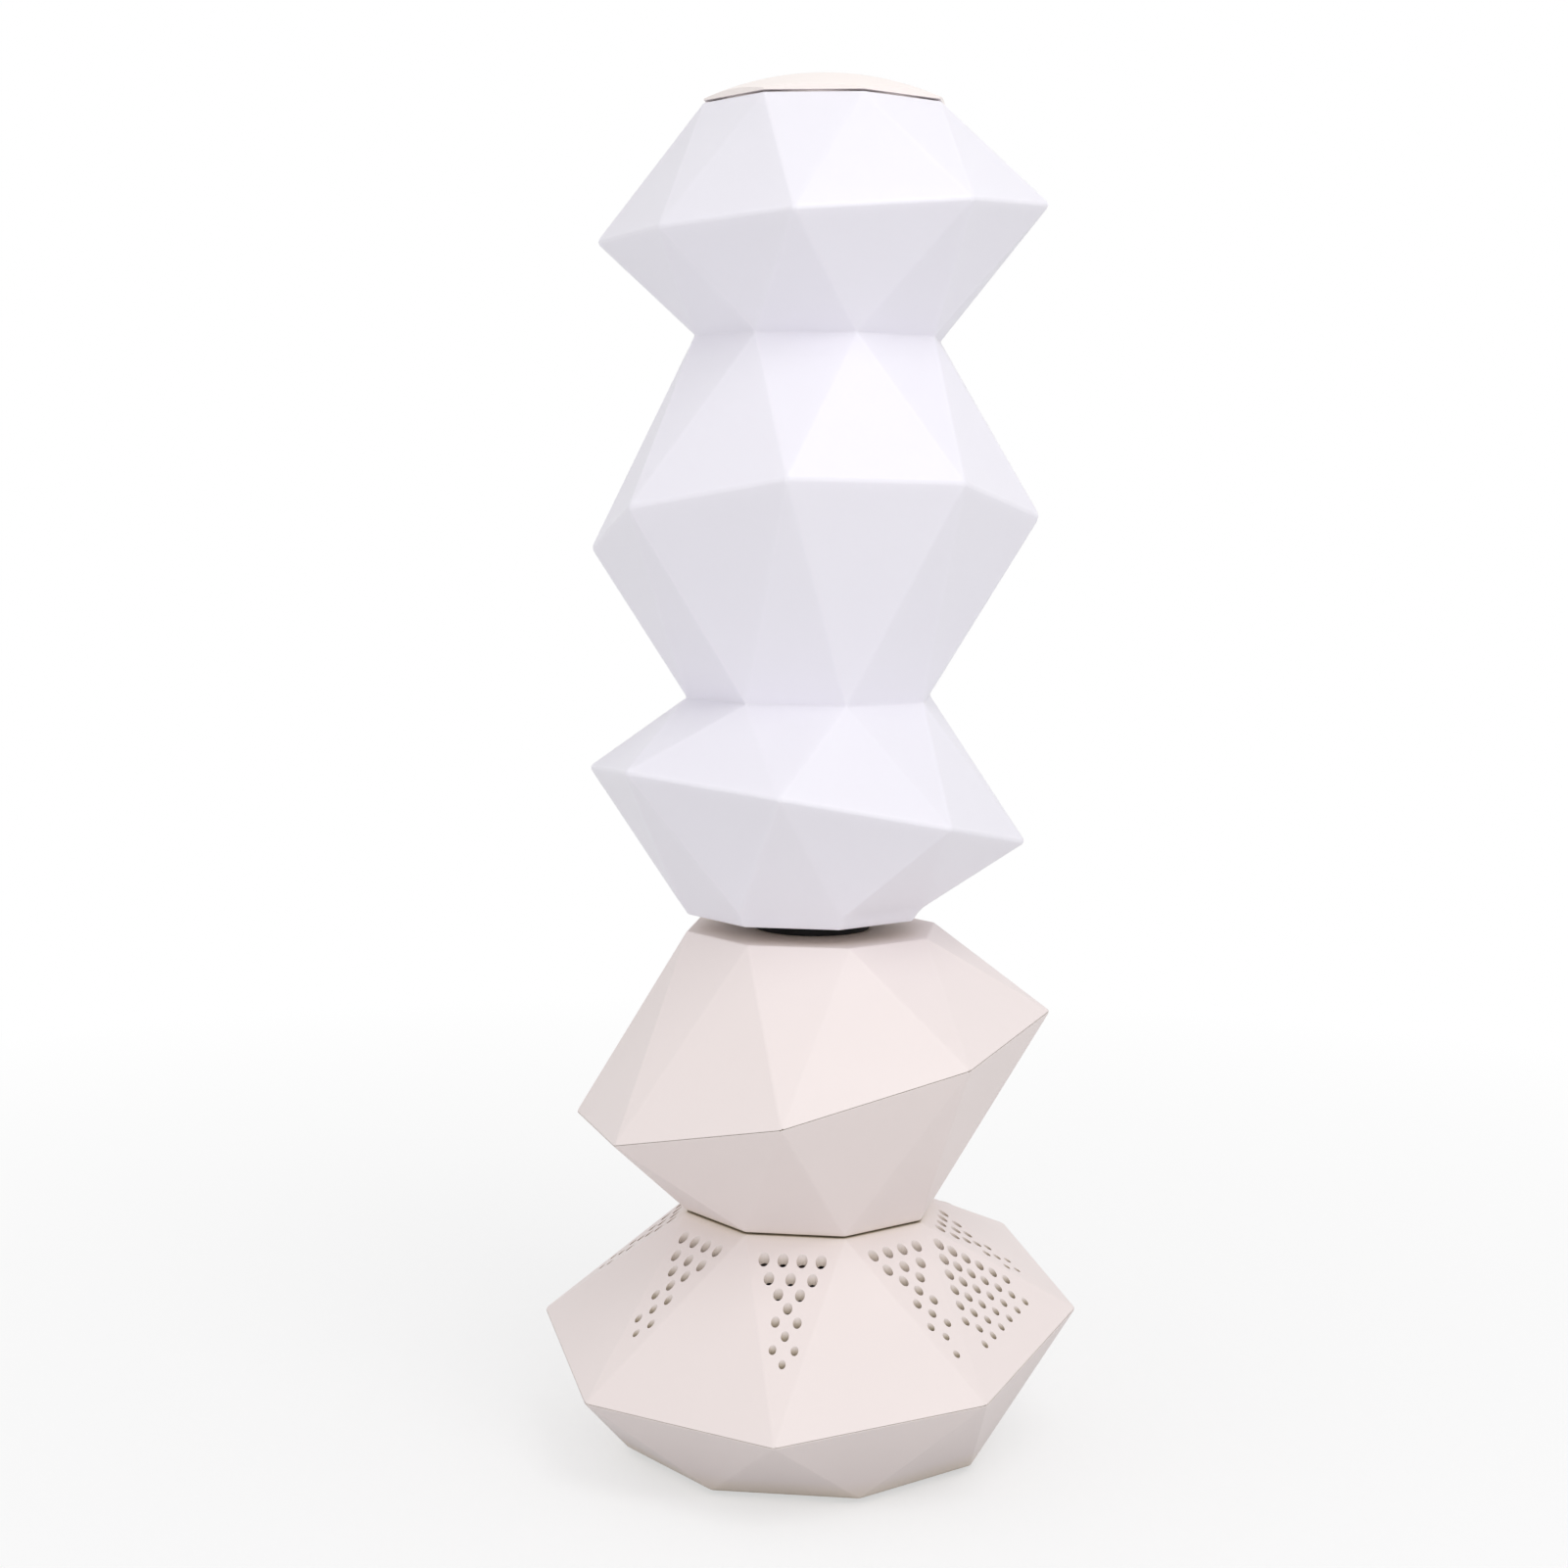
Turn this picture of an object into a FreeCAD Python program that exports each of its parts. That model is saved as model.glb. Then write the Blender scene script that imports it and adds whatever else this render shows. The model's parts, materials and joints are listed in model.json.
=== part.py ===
import FreeCAD, Part
import math
import os
import re
from collections import namedtuple

import Sketcher

# Driving sizes: millimetres, degrees for turns, rise over run for tilts
SIZES = {
    # Faceted stack, every form measured up from the face that it stands on
    "facet_turn": -6.6,
    "foot_lift": 1.2,
    "foot_ring_radius": 48.0,
    "base_radius": 70.0,
    "base_bulge_rise": 33.3,
    "base_tilt_x": 0.07,
    "base_tilt_y": 0.165,
    "base_rise": 61.4,
    "seam_radius": 32.65,
    "seam_gap": 0.5,
    "seam_plinth_radius": 28.6,
    "stone_radius": 61.65,
    "stone_bulge_rise": 37.8,
    "stone_tilt_x": 0.258,
    "stone_tilt_y": 0.02,
    "stone_rise": 73.4,
    "deck_radius": 33.15,
    # Three-lobed shade
    "shade_foot_radius": 30.9,
    "shade_bevel_radius": 33.3,
    "shade_bevel_rise": 3.4,
    "shade_foot_shift": -1.9,
    "lobe_low_radius": 56.5,
    "lobe_low_rise": 27.7,
    "lobe_low_tilt_x": -0.162,
    "lobe_low_tilt_y": -0.12,
    "lobe_low_shift": -2.0,
    "neck_low_radius": 32.3,
    "neck_low_rise": 55.5,
    "neck_low_shift": -1.3,
    "lobe_mid_radius": 57.2,
    "lobe_mid_rise": 97.1,
    "lobe_mid_tilt_x": 0.056,
    "lobe_mid_tilt_y": -0.24,
    "lobe_mid_shift": -0.9,
    "neck_high_radius": 32.2,
    "neck_high_rise": 145.6,
    "lobe_top_radius": 57.1,
    "lobe_top_rise": 174.0,
    "lobe_top_tilt_x": 0.085,
    "lobe_top_tilt_y": 0.025,
    "lobe_top_pull": 7.1,
    "shade_top_radius": 31.5,
    "shade_top_shift": 1.1,
    "shade_rise": 202.1,
    "shade_inset": 2.2,
    "shade_floor": 2.4,
    "shade_flange": 2.0,
    "shade_mouth_radius": 26.0,
    # Low dome with an eight-sided rim that plugs the shade's mouth
    "cap_gap": 0.5,
    "cap_rise": 7.5,
    "cap_edge": 0.4,
    "cap_plinth_radius": 27.8,
    "cap_skirt_depth": 7.0,
    "cap_wall": 1.8,
    # Moulded walls of the two stones, measured level, and the lap joints at their widest rings
    "shell_inset": 3.6,
    "floor_wall": 2.4,
    "lip_wall": 1.1,
    "lip_height": 0.8,
    "fit_clearance": 0.15,
    "wire_hole_radius": 6.0,
    # Sound holes, placed in plan because the mould pulls straight up
    "hole_radius_top": 1.35,
    "hole_radius_low": 0.85,
    "row_one_offset": 4.75,
    "row_two_step": 3.65,
    "row_three_step": 2.95,
    "row_step": 2.62,
    "row_one_pitch": 4.75,
    "row_pitch": 5.4,
    "tip_hole_offset": 28.4,
    "wide_first_offset": 5.3,
    "wide_row_step": 2.7,
    "wide_pitch": 4.8,
    "hole_above": 3.0,
    "hole_below": 7.5,
    # Screws, all pan heads
    "screw_radius": 1.4,
    "screw_head_radius": 2.6,
    "screw_head_height": 1.6,
    "screw_bite": 8.0,
    "boss_radius": 3.2,
    "boss_spare": 2.0,
    # Base screws rise through the bowl into four long posts, each under a rubber foot
    "post_gap": 2.8,
    "foot_radius": 6.0,
    "foot_recess": 1.0,
    "seat_boss_radius": 5.2,
    "seat_boss_rise": 7.0,
    "seat_web": 2.5,
    # Stone screws go down through the stone's floor into the base's deck
    "stone_screw_circle": 25.0,
    # Sealed speaker box on four pillars
    "box_radius": 30.0,
    "box_wall": 1.8,
    "box_height": 26.0,
    "ear_reach": 3.2,
    "ear_radius": 4.4,
    "ear_height": 3.0,
    "gasket_height": 0.8,
    "ring_width": 3.6,
    "ring_height": 2.0,
    # Loudspeaker, up-firing, measured from the underside of its flange
    "flange_height": 1.5,
    "flange_width": 5.4,
    "basket_wall": 1.0,
    "basket_depth": 11.0,
    "basket_foot_radius": 15.5,
    "basket_window": 13.0,
    "window_margin": 2.75,
    "surround_width": 5.0,
    "surround_rise": 2.0,
    "surround_wall": 0.6,
    "surround_lift": 0.15,
    "cone_wall": 0.6,
    "cone_depth": 7.5,
    "coil_radius": 7.0,
    "coil_wall": 0.5,
    "coil_length": 8.5,
    "coil_gap": 0.35,
    "dome_rise": 3.0,
    "dome_shoulder": 2.4,
    "spider_drop": 8.6,
    "spider_wall": 0.4,
    "top_plate_height": 2.0,
    "magnet_radius": 16.0,
    "magnet_bore_radius": 9.5,
    "magnet_height": 6.0,
    "yoke_height": 2.0,
    # Lamp head: collar, holder and light board
    "collar_radius": 14.8,
    "collar_height": 4.1,
    "spigot_radius": 12.8,
    "collar_bore_radius": 5.0,
    "lamp_screw_circle": 9.0,
    "lamp_screw_turn": 60.0,
    "holder_radius": 19.6,
    "holder_height": 5.2,
    "holder_rim": 1.8,
    "holder_rim_wall": 2.0,
    "light_board_height": 1.2,
    "light_circle": 12.0,
    "light_side": 5.0,
    "light_height": 1.5,
    # Two battery cells upright in a cradle behind the axis
    "cell_radius": 7.1,
    "cell_length": 50.0,
    "cell_nub_radius": 2.7,
    "cell_nub": 1.2,
    "cell_pitch": 15.2,
    "cell_set_back": 10.4,
    "cradle_wall": 1.4,
    "cradle_floor": 2.0,
    "cradle_depth": 14.0,
    # Control board behind the rear facet, measured across and up that facet
    "button_radius": 2.6,
    "button_pitch": 8.4,
    "button_row": 11.0,
    "button_proud": 0.8,
    "button_chamfer": 0.35,
    "button_flange_radius": 3.5,
    "button_flange": 1.0,
    "button_travel": 0.6,
    "moving_clearance": 0.2,
    "drill_spare": 1.2,
    "switch_side": 5.2,
    "switch_height": 2.6,
    "switch_plunger_radius": 1.5,
    "switch_plunger": 0.8,
    "socket_row": 22.0,
    "socket_width": 9.0,
    "socket_depth": 3.2,
    "socket_wall": 0.35,
    "socket_recess": 0.5,
    "socket_tongue_width": 6.6,
    "socket_tongue": 0.7,
    "board_height": 1.6,
    "board_low": 3.6,
    "board_high": 26.5,
    "board_low_width": 34.0,
    "board_high_width": 14.0,
    "board_screw_low": 6.0,
    "board_screw_high": 18.6,
    "board_screw_reach": 8.6,
    "board_boss_radius": 2.3,
    "board_screw_radius": 0.9,
    "board_screw_head_radius": 1.7,
    "board_screw_head": 1.0,
    "board_screw_bite": 3.0,
    "radio_width": 11.0,
    "radio_length": 11.6,
    "radio_height": 2.2,
    "amplifier_side": 5.0,
    "amplifier_height": 1.0,
    "capacitor_radius": 2.4,
    "capacitor_height": 6.0,
    "capacitor_pitch": 6.0,
    # Leads inside the stones
    "lead_radius": 1.3,
    "lead_bend": 12.0,
    "lead_spacing": 3.6,
    "speaker_lead_rise": 13.0,
    "speaker_lead_bend": 4.0,
}

# Levels above the table, and circles and radii that follow from the sizes
LEVELS = {
    "bowl_floor": "foot_lift + floor_wall",
    "base_bulge_level": "foot_lift + base_bulge_rise",
    "seam_level": "foot_lift + base_rise",
    "stone_foot_level": "foot_lift + base_rise + seam_gap",
    "stone_floor_level": "foot_lift + base_rise + seam_gap + floor_wall",
    "stone_bulge_level": "foot_lift + base_rise + stone_bulge_rise",
    "deck_level": "foot_lift + base_rise + stone_rise",
    "shade_level": "foot_lift + base_rise + stone_rise + collar_height",
    "shade_floor_level": "foot_lift + base_rise + stone_rise + collar_height + shade_floor",
    "shade_top_level": "foot_lift + base_rise + stone_rise + collar_height + shade_rise",
    "cap_level": "foot_lift + base_rise + stone_rise + collar_height + shade_rise + cap_gap",
    "cap_dome_radius": "(shade_top_radius ^ 2 + (cap_rise - cap_edge) ^ 2) / (2 * (cap_rise - cap_edge))",
    "box_top": "foot_lift + floor_wall + box_height",
    "driver_level": "foot_lift + floor_wall + box_height + gasket_height",
    "ring_top": "foot_lift + floor_wall + box_height + gasket_height + flange_height + ring_height",
    "screw_hole_radius": "screw_radius + fit_clearance",
    "head_hole_radius": "screw_head_radius + fit_clearance",
    "holder_seat": "holder_height - screw_head_height - holder_rim - fit_clearance",
    "post_circle": "box_radius + post_gap + boss_radius",
    "ear_circle": "box_radius + ear_reach",
    "ring_inner_radius": "box_radius - ring_width",
    "flange_inner_radius": "box_radius - flange_width",
    "surround_inner_radius": "box_radius - flange_width - surround_width",
}

SIDES = 8
POSTS = 4
STONE_SCREWS = 3
LAMP_SCREWS = 3
LIGHTS = 8
CELLS = 2
CAPACITORS = 2
HOLE_SIDES = 12
SMALL_ROWS = (4, 3, 2, 1, 2, 1, 2, 1)
WIDE_ROWS = (1, 2, 3, 4, 5, 6, 5, 6)
STEP = 360 / SIDES
WIDE_FACET_INDEX = 1
TIP_HOLE_FACET_INDEX = 1
CONTROL_FACET_INDEX = 3
PULLED_CORNER_INDEX = 7
BUTTONS = ("power_button", "volume_down_button", "volume_up_button", "light_button")

Vector = FreeCAD.Vector

# A new sketch starts as a round outline, and the bound distances then pull each corner to its place
ROUGH_PLACE = Vector(30, 30, 0)
ROUGH_RADIUS = 9.0

Ring = namedtuple("Ring", "corners waist")

doc = FreeCAD.newDocument("speaker_lamp")
nodes = []


def add_sheet(name, cells):
    """A sheet with one named cell to a row."""
    page = doc.addObject("Spreadsheet::Sheet", name)
    for row, (alias, text) in enumerate(cells.items(), start=1):
        page.set(f"A{row}", alias)
        page.set(f"B{row}", str(text))
        page.setAlias(f"B{row}", alias)
    return page


def linked(text):
    """The same formula with each size or level named by its sheet."""
    def owner(match):
        word = match[0]
        if word in SIZES:
            return f"Sizes.{word}"
        return f"Levels.{word}" if word in LEVELS else word
    return re.sub(r"[a-z]\w*", owner, text)


size = add_sheet("Sizes", SIZES)
level = add_sheet("Levels", {name: "=" + linked(text) for name, text in LEVELS.items()})
doc.recompute()


# Helpers that make document objects
def bind(thing, **formulas):
    """Ties properties to the sheets."""
    for name, text in formulas.items():
        thing.setExpression(name, linked(text))
    return thing


def place(thing, flip=False, **where):
    """Puts an object at a bound position, upside down where that is asked for."""
    if flip:
        thing.Placement.Rotation = FreeCAD.Rotation(Vector(1, 0, 0), 180)
    return bind(thing, **{f"Placement.Base.{letter}": text for letter, text in where.items()})


def around(circle, angle):
    """Bound x and y of a point on a circle, with the angle counted from the front towards the right."""
    return {"x": f"({circle}) * sin({angle})", "y": f"-({circle}) * cos({angle})"}


def node(thing, label):
    """Marks a finished sub-part."""
    thing.Label = label
    nodes.append(thing)
    return thing


def feature(name, shape):
    """A plain feature for a form that is worked out corner by corner."""
    thing = doc.addObject("Part::Feature", name)
    thing.Shape = shape
    return thing


def cylinder(name, radius, height, **where):
    return place(bind(doc.addObject("Part::Cylinder", name), Radius=radius, Height=height), **where)


def box(name, length, width, height, **where):
    return place(bind(doc.addObject("Part::Box", name), Length=length, Width=width, Height=height), **where)


def sphere(name, radius, **where):
    """A ball with its poles at the sides, so that the top of it is an even patch."""
    ball = bind(doc.addObject("Part::Sphere", name), Radius=radius)
    ball.Placement.Rotation = FreeCAD.Rotation(Vector(1, 0, 0), 90)
    return place(ball, **where)


def group(name, things):
    bundle = doc.addObject("Part::Compound", name)
    bundle.Links = list(things)
    return bundle


def fuse(name, things):
    joined = doc.addObject("Part::MultiFuse", name)
    joined.Shapes = list(things)
    return joined


def common(name, things):
    shared = doc.addObject("Part::MultiCommon", name)
    shared.Shapes = list(things)
    return shared


def cut(name, base, tools):
    result = doc.addObject("Part::Cut", name)
    result.Base = base
    result.Tool = tools[0] if len(tools) == 1 else group(f"{name}_tools", tools)
    return result


def sketch(body, name, role, points):
    """A closed outline of straight lines whose corners are bound to the sheets."""
    plane = [item for item in body.Origin.OriginFeatures if item.Role == role][0]
    outline = body.newObject("Sketcher::SketchObject", name)
    outline.AttachmentSupport = [(plane, "")]
    outline.MapMode = "FlatFace"
    count = len(points)
    rough = []
    for k in range(count):
        turn = k * math.tau / count
        rough.append(Vector(math.cos(turn), math.sin(turn), 0) * ROUGH_RADIUS + ROUGH_PLACE)
    for k in range(count):
        outline.addGeometry(Part.LineSegment(rough[k], rough[(k + 1) % count]))
    for k in range(count):
        outline.addConstraint(Sketcher.Constraint("Coincident", k, 2, (k + 1) % count, 1))
    for k, corner in enumerate(points):
        for kind, text, start in zip(("DistanceX", "DistanceY"), corner, (rough[k].x, rough[k].y)):
            index = outline.addConstraint(Sketcher.Constraint(kind, k, 1, start))
            outline.setExpression(f"Constraints[{index}]", linked(text))
    return outline


def turned(name, profile, **where):
    """A body revolved from (radius, height) corners."""
    body = doc.addObject("PartDesign::Body", name)
    outline = sketch(body, f"{name}_profile", "XZ_Plane", profile)
    revolve = body.newObject("PartDesign::Revolution", f"{name}_turned")
    revolve.Profile = outline
    revolve.ReferenceAxis = (outline, ["V_Axis"])
    revolve.Angle = 360
    return place(body, **where)


def tube(name, inner, outer, low, high, **where):
    return turned(name, [(inner, low), (outer, low), (outer, high), (inner, high)], **where)


def screw(name, length, radius="screw_radius", head="screw_head_radius", height="screw_head_height", **where):
    """A pan-head screw standing on its head, with the head's seat at its origin."""
    profile = [("0", "0"), (head, "0"), (head, height), (radius, height),
               (radius, f"{height} + {length}"), ("0", f"{height} + {length}")]
    return turned(name, profile, **where)


# Faceted forms
def ring(radius, height, waist=False, tilt_x=0.0, tilt_y=0.0, shift=0.0, pull=0.0):
    """An octagon of corners. A waist's corners lie half a step on from those of the widest rings."""
    corners = []
    for k in range(SIDES):
        angle = math.radians(size.facet_turn + STEP * (k + 0.5 * waist))
        reach = radius - (pull if k == PULLED_CORNER_INDEX else 0)
        x = reach * math.sin(angle)
        y = -reach * math.cos(angle)
        corners.append(Vector(x + shift, y, height + tilt_x * x + tilt_y * y))
    return Ring(corners, waist)


def polygon(corners):
    return Part.Face(Part.makePolygon(list(corners) + [corners[0]]))


def faceted(rings):
    """A closed solid through a stack of rings, with a triangle to each corner between unlike rings."""
    faces = [polygon(rings[0].corners), polygon(rings[-1].corners)]
    for low, high in zip(rings, rings[1:]):
        for k in range(SIDES):
            after = (k + 1) % SIDES
            if low.waist == high.waist:
                faces.append(polygon([low.corners[k], low.corners[after],
                                      high.corners[after], high.corners[k]]))
            elif low.waist:
                faces.append(polygon([low.corners[k - 1], low.corners[k], high.corners[k]]))
                faces.append(polygon([high.corners[k], high.corners[after], low.corners[k]]))
            else:
                faces.append(polygon([low.corners[k], low.corners[after], high.corners[k]]))
                faces.append(polygon([high.corners[k - 1], high.corners[k], low.corners[k]]))
    return Part.Solid(Part.Shell(faces))


def base_ring(inset=0.0, rise=0.0):
    """The base's widest ring, where its bowl meets its grille shell."""
    return ring(size.base_radius - inset, level.base_bulge_level + rise,
                tilt_x=size.base_tilt_x, tilt_y=size.base_tilt_y)


def stone_ring(inset=0.0, rise=0.0):
    """The stone's widest ring, where its two shells meet."""
    return ring(size.stone_radius - inset, level.stone_bulge_level + rise,
                tilt_x=size.stone_tilt_x, tilt_y=size.stone_tilt_y)


def inner_waist(waist_radius, waist_level, wide_radius, wide_level, wall):
    """The waist ring of a cavity whose end is the given wall away from the waist's own face."""
    slope = (wide_radius - waist_radius) / abs(wide_level - waist_level)
    towards_wide = wall if wide_level > waist_level else -wall
    return ring(waist_radius + slope * wall - size.shell_inset, waist_level + towards_wide, waist=True)


foot_ring = ring(size.foot_ring_radius, size.foot_lift, waist=True)
foot_inner = inner_waist(size.foot_ring_radius, size.foot_lift, size.base_radius, level.base_bulge_level,
                         size.floor_wall)
seam_ring = ring(size.seam_radius, level.seam_level, waist=True)
seam_inner = inner_waist(size.seam_radius, level.seam_level, size.base_radius, level.base_bulge_level,
                         size.floor_wall)
stone_foot_ring = ring(size.seam_radius, level.stone_foot_level, waist=True)
stone_foot_inner = inner_waist(size.seam_radius, level.stone_foot_level, size.stone_radius,
                               level.stone_bulge_level, size.floor_wall)
deck_ring = ring(size.deck_radius, level.deck_level, waist=True)
deck_inner = inner_waist(size.deck_radius, level.deck_level, size.stone_radius, level.stone_bulge_level,
                         size.floor_wall)


def lip(name, wide_ring):
    """The raised edge of a lower shell that the upper shell's rebate drops over."""
    outer = size.shell_inset - size.lip_wall
    solid = faceted([wide_ring(outer), wide_ring(outer, size.lip_height)])
    hollow = faceted([wide_ring(size.shell_inset), wide_ring(size.shell_inset, size.lip_height)])
    return feature(name, solid.cut(hollow))


def rebate(name, wide_ring):
    """What an upper shell loses to make room for the lower shell's lip."""
    reach = size.shell_inset - size.lip_wall - size.fit_clearance
    top = size.lip_height + size.fit_clearance
    return feature(name, faceted([wide_ring(reach), wide_ring(reach, top)]))


# Control facet: an axis along its lower edge, one up its slope and one straight out of it
def control_frame():
    wide = base_ring().corners
    start = wide[CONTROL_FACET_INDEX]
    end = wide[CONTROL_FACET_INDEX + 1]
    along = (end - start).normalize()
    outward = (end - start).cross(seam_ring.corners[CONTROL_FACET_INDEX] - start).normalize()
    up_slope = outward.cross(along)
    return FreeCAD.Placement((start + end) / 2, FreeCAD.Rotation(along, up_slope, outward, "ZXY"))


control = control_frame()
control_inner = [base_ring(size.shell_inset).corners[CONTROL_FACET_INDEX],
                 base_ring(size.shell_inset).corners[CONTROL_FACET_INDEX + 1],
                 seam_inner.corners[CONTROL_FACET_INDEX]]
control_wall = max(-control.inverse().multVec(corner).z for corner in control_inner)
flange_top = control_wall + size.moving_clearance
flange_bottom = flange_top + size.button_flange
plunger_top = flange_bottom + size.button_travel + size.moving_clearance
board_top = plunger_top + size.switch_height
board_bottom = board_top + size.board_height


def on_control(thing, across, up, depth, flip=False):
    """Moves an object made at the origin to a place on the control facet, that far below its outer face."""
    turn = FreeCAD.Rotation(Vector(1, 0, 0), 180 if flip else 0)
    thing.Placement = control.multiply(FreeCAD.Placement(Vector(across, up, -depth), turn))
    return thing


def button_places():
    middle = (len(BUTTONS) - 1) / 2
    return [(size.button_pitch * (k - middle), size.button_row) for k in range(len(BUTTONS))]


def board_screw_places():
    return [(0, size.board_screw_low), (-size.board_screw_reach, size.board_screw_high),
            (size.board_screw_reach, size.board_screw_high)]


# Sound holes
def hole(x, y, z, radius):
    """One hole's cutter, a many-sided prism standing upright through the wall."""
    corners = [Vector(x + radius * math.cos(k * math.tau / HOLE_SIDES),
                      y + radius * math.sin(k * math.tau / HOLE_SIDES), z - size.hole_below)
               for k in range(HOLE_SIDES)]
    return polygon(corners).extrude(Vector(0, 0, size.hole_below + size.hole_above))


def hole_rows(edge, tip, rows):
    """Cutters in rows beside an edge, each row (distance in plan, count, pitch, radius), spread about
    the line from the edge's middle to the facet's tip."""
    middle = (edge[0] + edge[1]) / 2
    along = Vector(edge[1].x - edge[0].x, edge[1].y - edge[0].y, 0).normalize()
    run = tip - middle
    reach = abs(run.dot(Vector(-along.y, along.x, 0)))
    cutters = []
    for distance, count, pitch, radius in rows:
        centre = middle + run * (distance / reach)
        for k in range(count):
            spot = centre + along * (pitch * (k - (count - 1) / 2))
            cutters.append(hole(spot.x, spot.y, spot.z, radius))
    return cutters


def hole_radius(row, rows):
    """Holes shrink evenly from the first row to the last."""
    return size.hole_radius_top + (size.hole_radius_low - size.hole_radius_top) * row / (rows - 1)


def small_pattern():
    """Rows below a facet's upper edge."""
    distance = size.row_one_offset
    steps = [size.row_two_step, size.row_three_step]
    rows = []
    for k, count in enumerate(SMALL_ROWS):
        pitch = size.row_pitch if k else size.row_one_pitch
        rows.append((distance, count, pitch, hole_radius(k, len(SMALL_ROWS))))
        distance += steps[k] if k < len(steps) else size.row_step
    return rows


def wide_pattern(reach):
    """Rows that widen away from a facet's upper corner, counted from its lower edge."""
    return [(reach - size.wide_first_offset - size.wide_row_step * k, count, size.wide_pitch,
             hole_radius(k, len(WIDE_ROWS))) for k, count in enumerate(WIDE_ROWS)]


def sound_holes():
    wide = base_ring().corners
    seam = seam_ring.corners
    cutters = []
    for k in range(SIDES):
        cutters += hole_rows((seam[k - 1], seam[k]), wide[k], small_pattern())
    tip_row = [(size.tip_hole_offset, 1, size.row_pitch, size.hole_radius_low)]
    tip_edge = (seam[TIP_HOLE_FACET_INDEX - 1], seam[TIP_HOLE_FACET_INDEX])
    cutters += hole_rows(tip_edge, wide[TIP_HOLE_FACET_INDEX], tip_row)
    half_turn = math.cos(math.pi / SIDES)
    reach = size.base_radius * half_turn - size.seam_radius
    edge = (wide[WIDE_FACET_INDEX], wide[WIDE_FACET_INDEX + 1])
    cutters += hole_rows(edge, seam[WIDE_FACET_INDEX], wide_pattern(reach))
    return feature("sound_holes", Part.makeCompound(cutters))


def post_angle(k):
    return f"facet_turn + {STEP / 2} + {360 / POSTS} * {k}"


def pillar_angle(k):
    return f"facet_turn + {360 / POSTS} * {k}"


def stone_screw_angle(k):
    return f"{360 / STONE_SCREWS} * {k}"


def lamp_screw_angle(k):
    return f"lamp_screw_turn + {360 / LAMP_SCREWS} * {k}"


# Base: bowl, feet and grille shell
def make_base_bowl():
    shell = cut("bowl_shell", feature("bowl_outside", faceted([foot_ring, base_ring()])),
                [feature("bowl_hollow", faceted([foot_inner, base_ring(size.shell_inset)]))])
    solids = [shell, lip("bowl_lip", base_ring)]
    tools = []
    for k in range(POSTS):
        spot = around("post_circle", post_angle(k))
        solids.append(cylinder(f"seat_boss_{k}", "seat_boss_radius", "seat_boss_rise", z="foot_lift", **spot))
        tools.append(cylinder(f"foot_recess_{k}", "foot_radius + fit_clearance", "foot_recess",
                              z="foot_lift", **spot))
        tools.append(cylinder(f"head_well_{k}", "head_hole_radius", "seat_boss_rise - seat_web",
                              z="foot_lift", **spot))
        tools.append(cylinder(f"seat_hole_{k}", "screw_hole_radius", "seat_boss_rise", z="foot_lift", **spot))
        spot = around("ear_circle", pillar_angle(k))
        solids.append(cylinder(f"pillar_{k}", "ear_circle - box_radius - fit_clearance",
                               "box_height - ear_height", z="bowl_floor", **spot))
        tools.append(cylinder(f"pillar_hole_{k}", "screw_hole_radius", "screw_bite + boss_spare",
                              z="box_top - ear_height - screw_bite - boss_spare", **spot))
    bowl = cut("bowl", fuse("bowl_solids", solids), [fuse("bowl_cuts", tools)])
    node(bowl, "base_bowl")


def make_feet():
    for k in range(POSTS):
        spot = around("post_circle", post_angle(k))
        foot = cylinder(f"foot_{k}", "foot_radius", "foot_lift + foot_recess", **spot)
        node(foot, f"rubber_foot_{k + 1}")


def make_base_screws():
    screws = [screw(f"base_screw_{k}", "seat_web + screw_bite",
                    z="foot_lift + seat_boss_rise - seat_web - screw_head_height",
                    **around("post_circle", post_angle(k))) for k in range(POSTS)]
    node(group("base_screw_set", screws), "base_screws")


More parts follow.
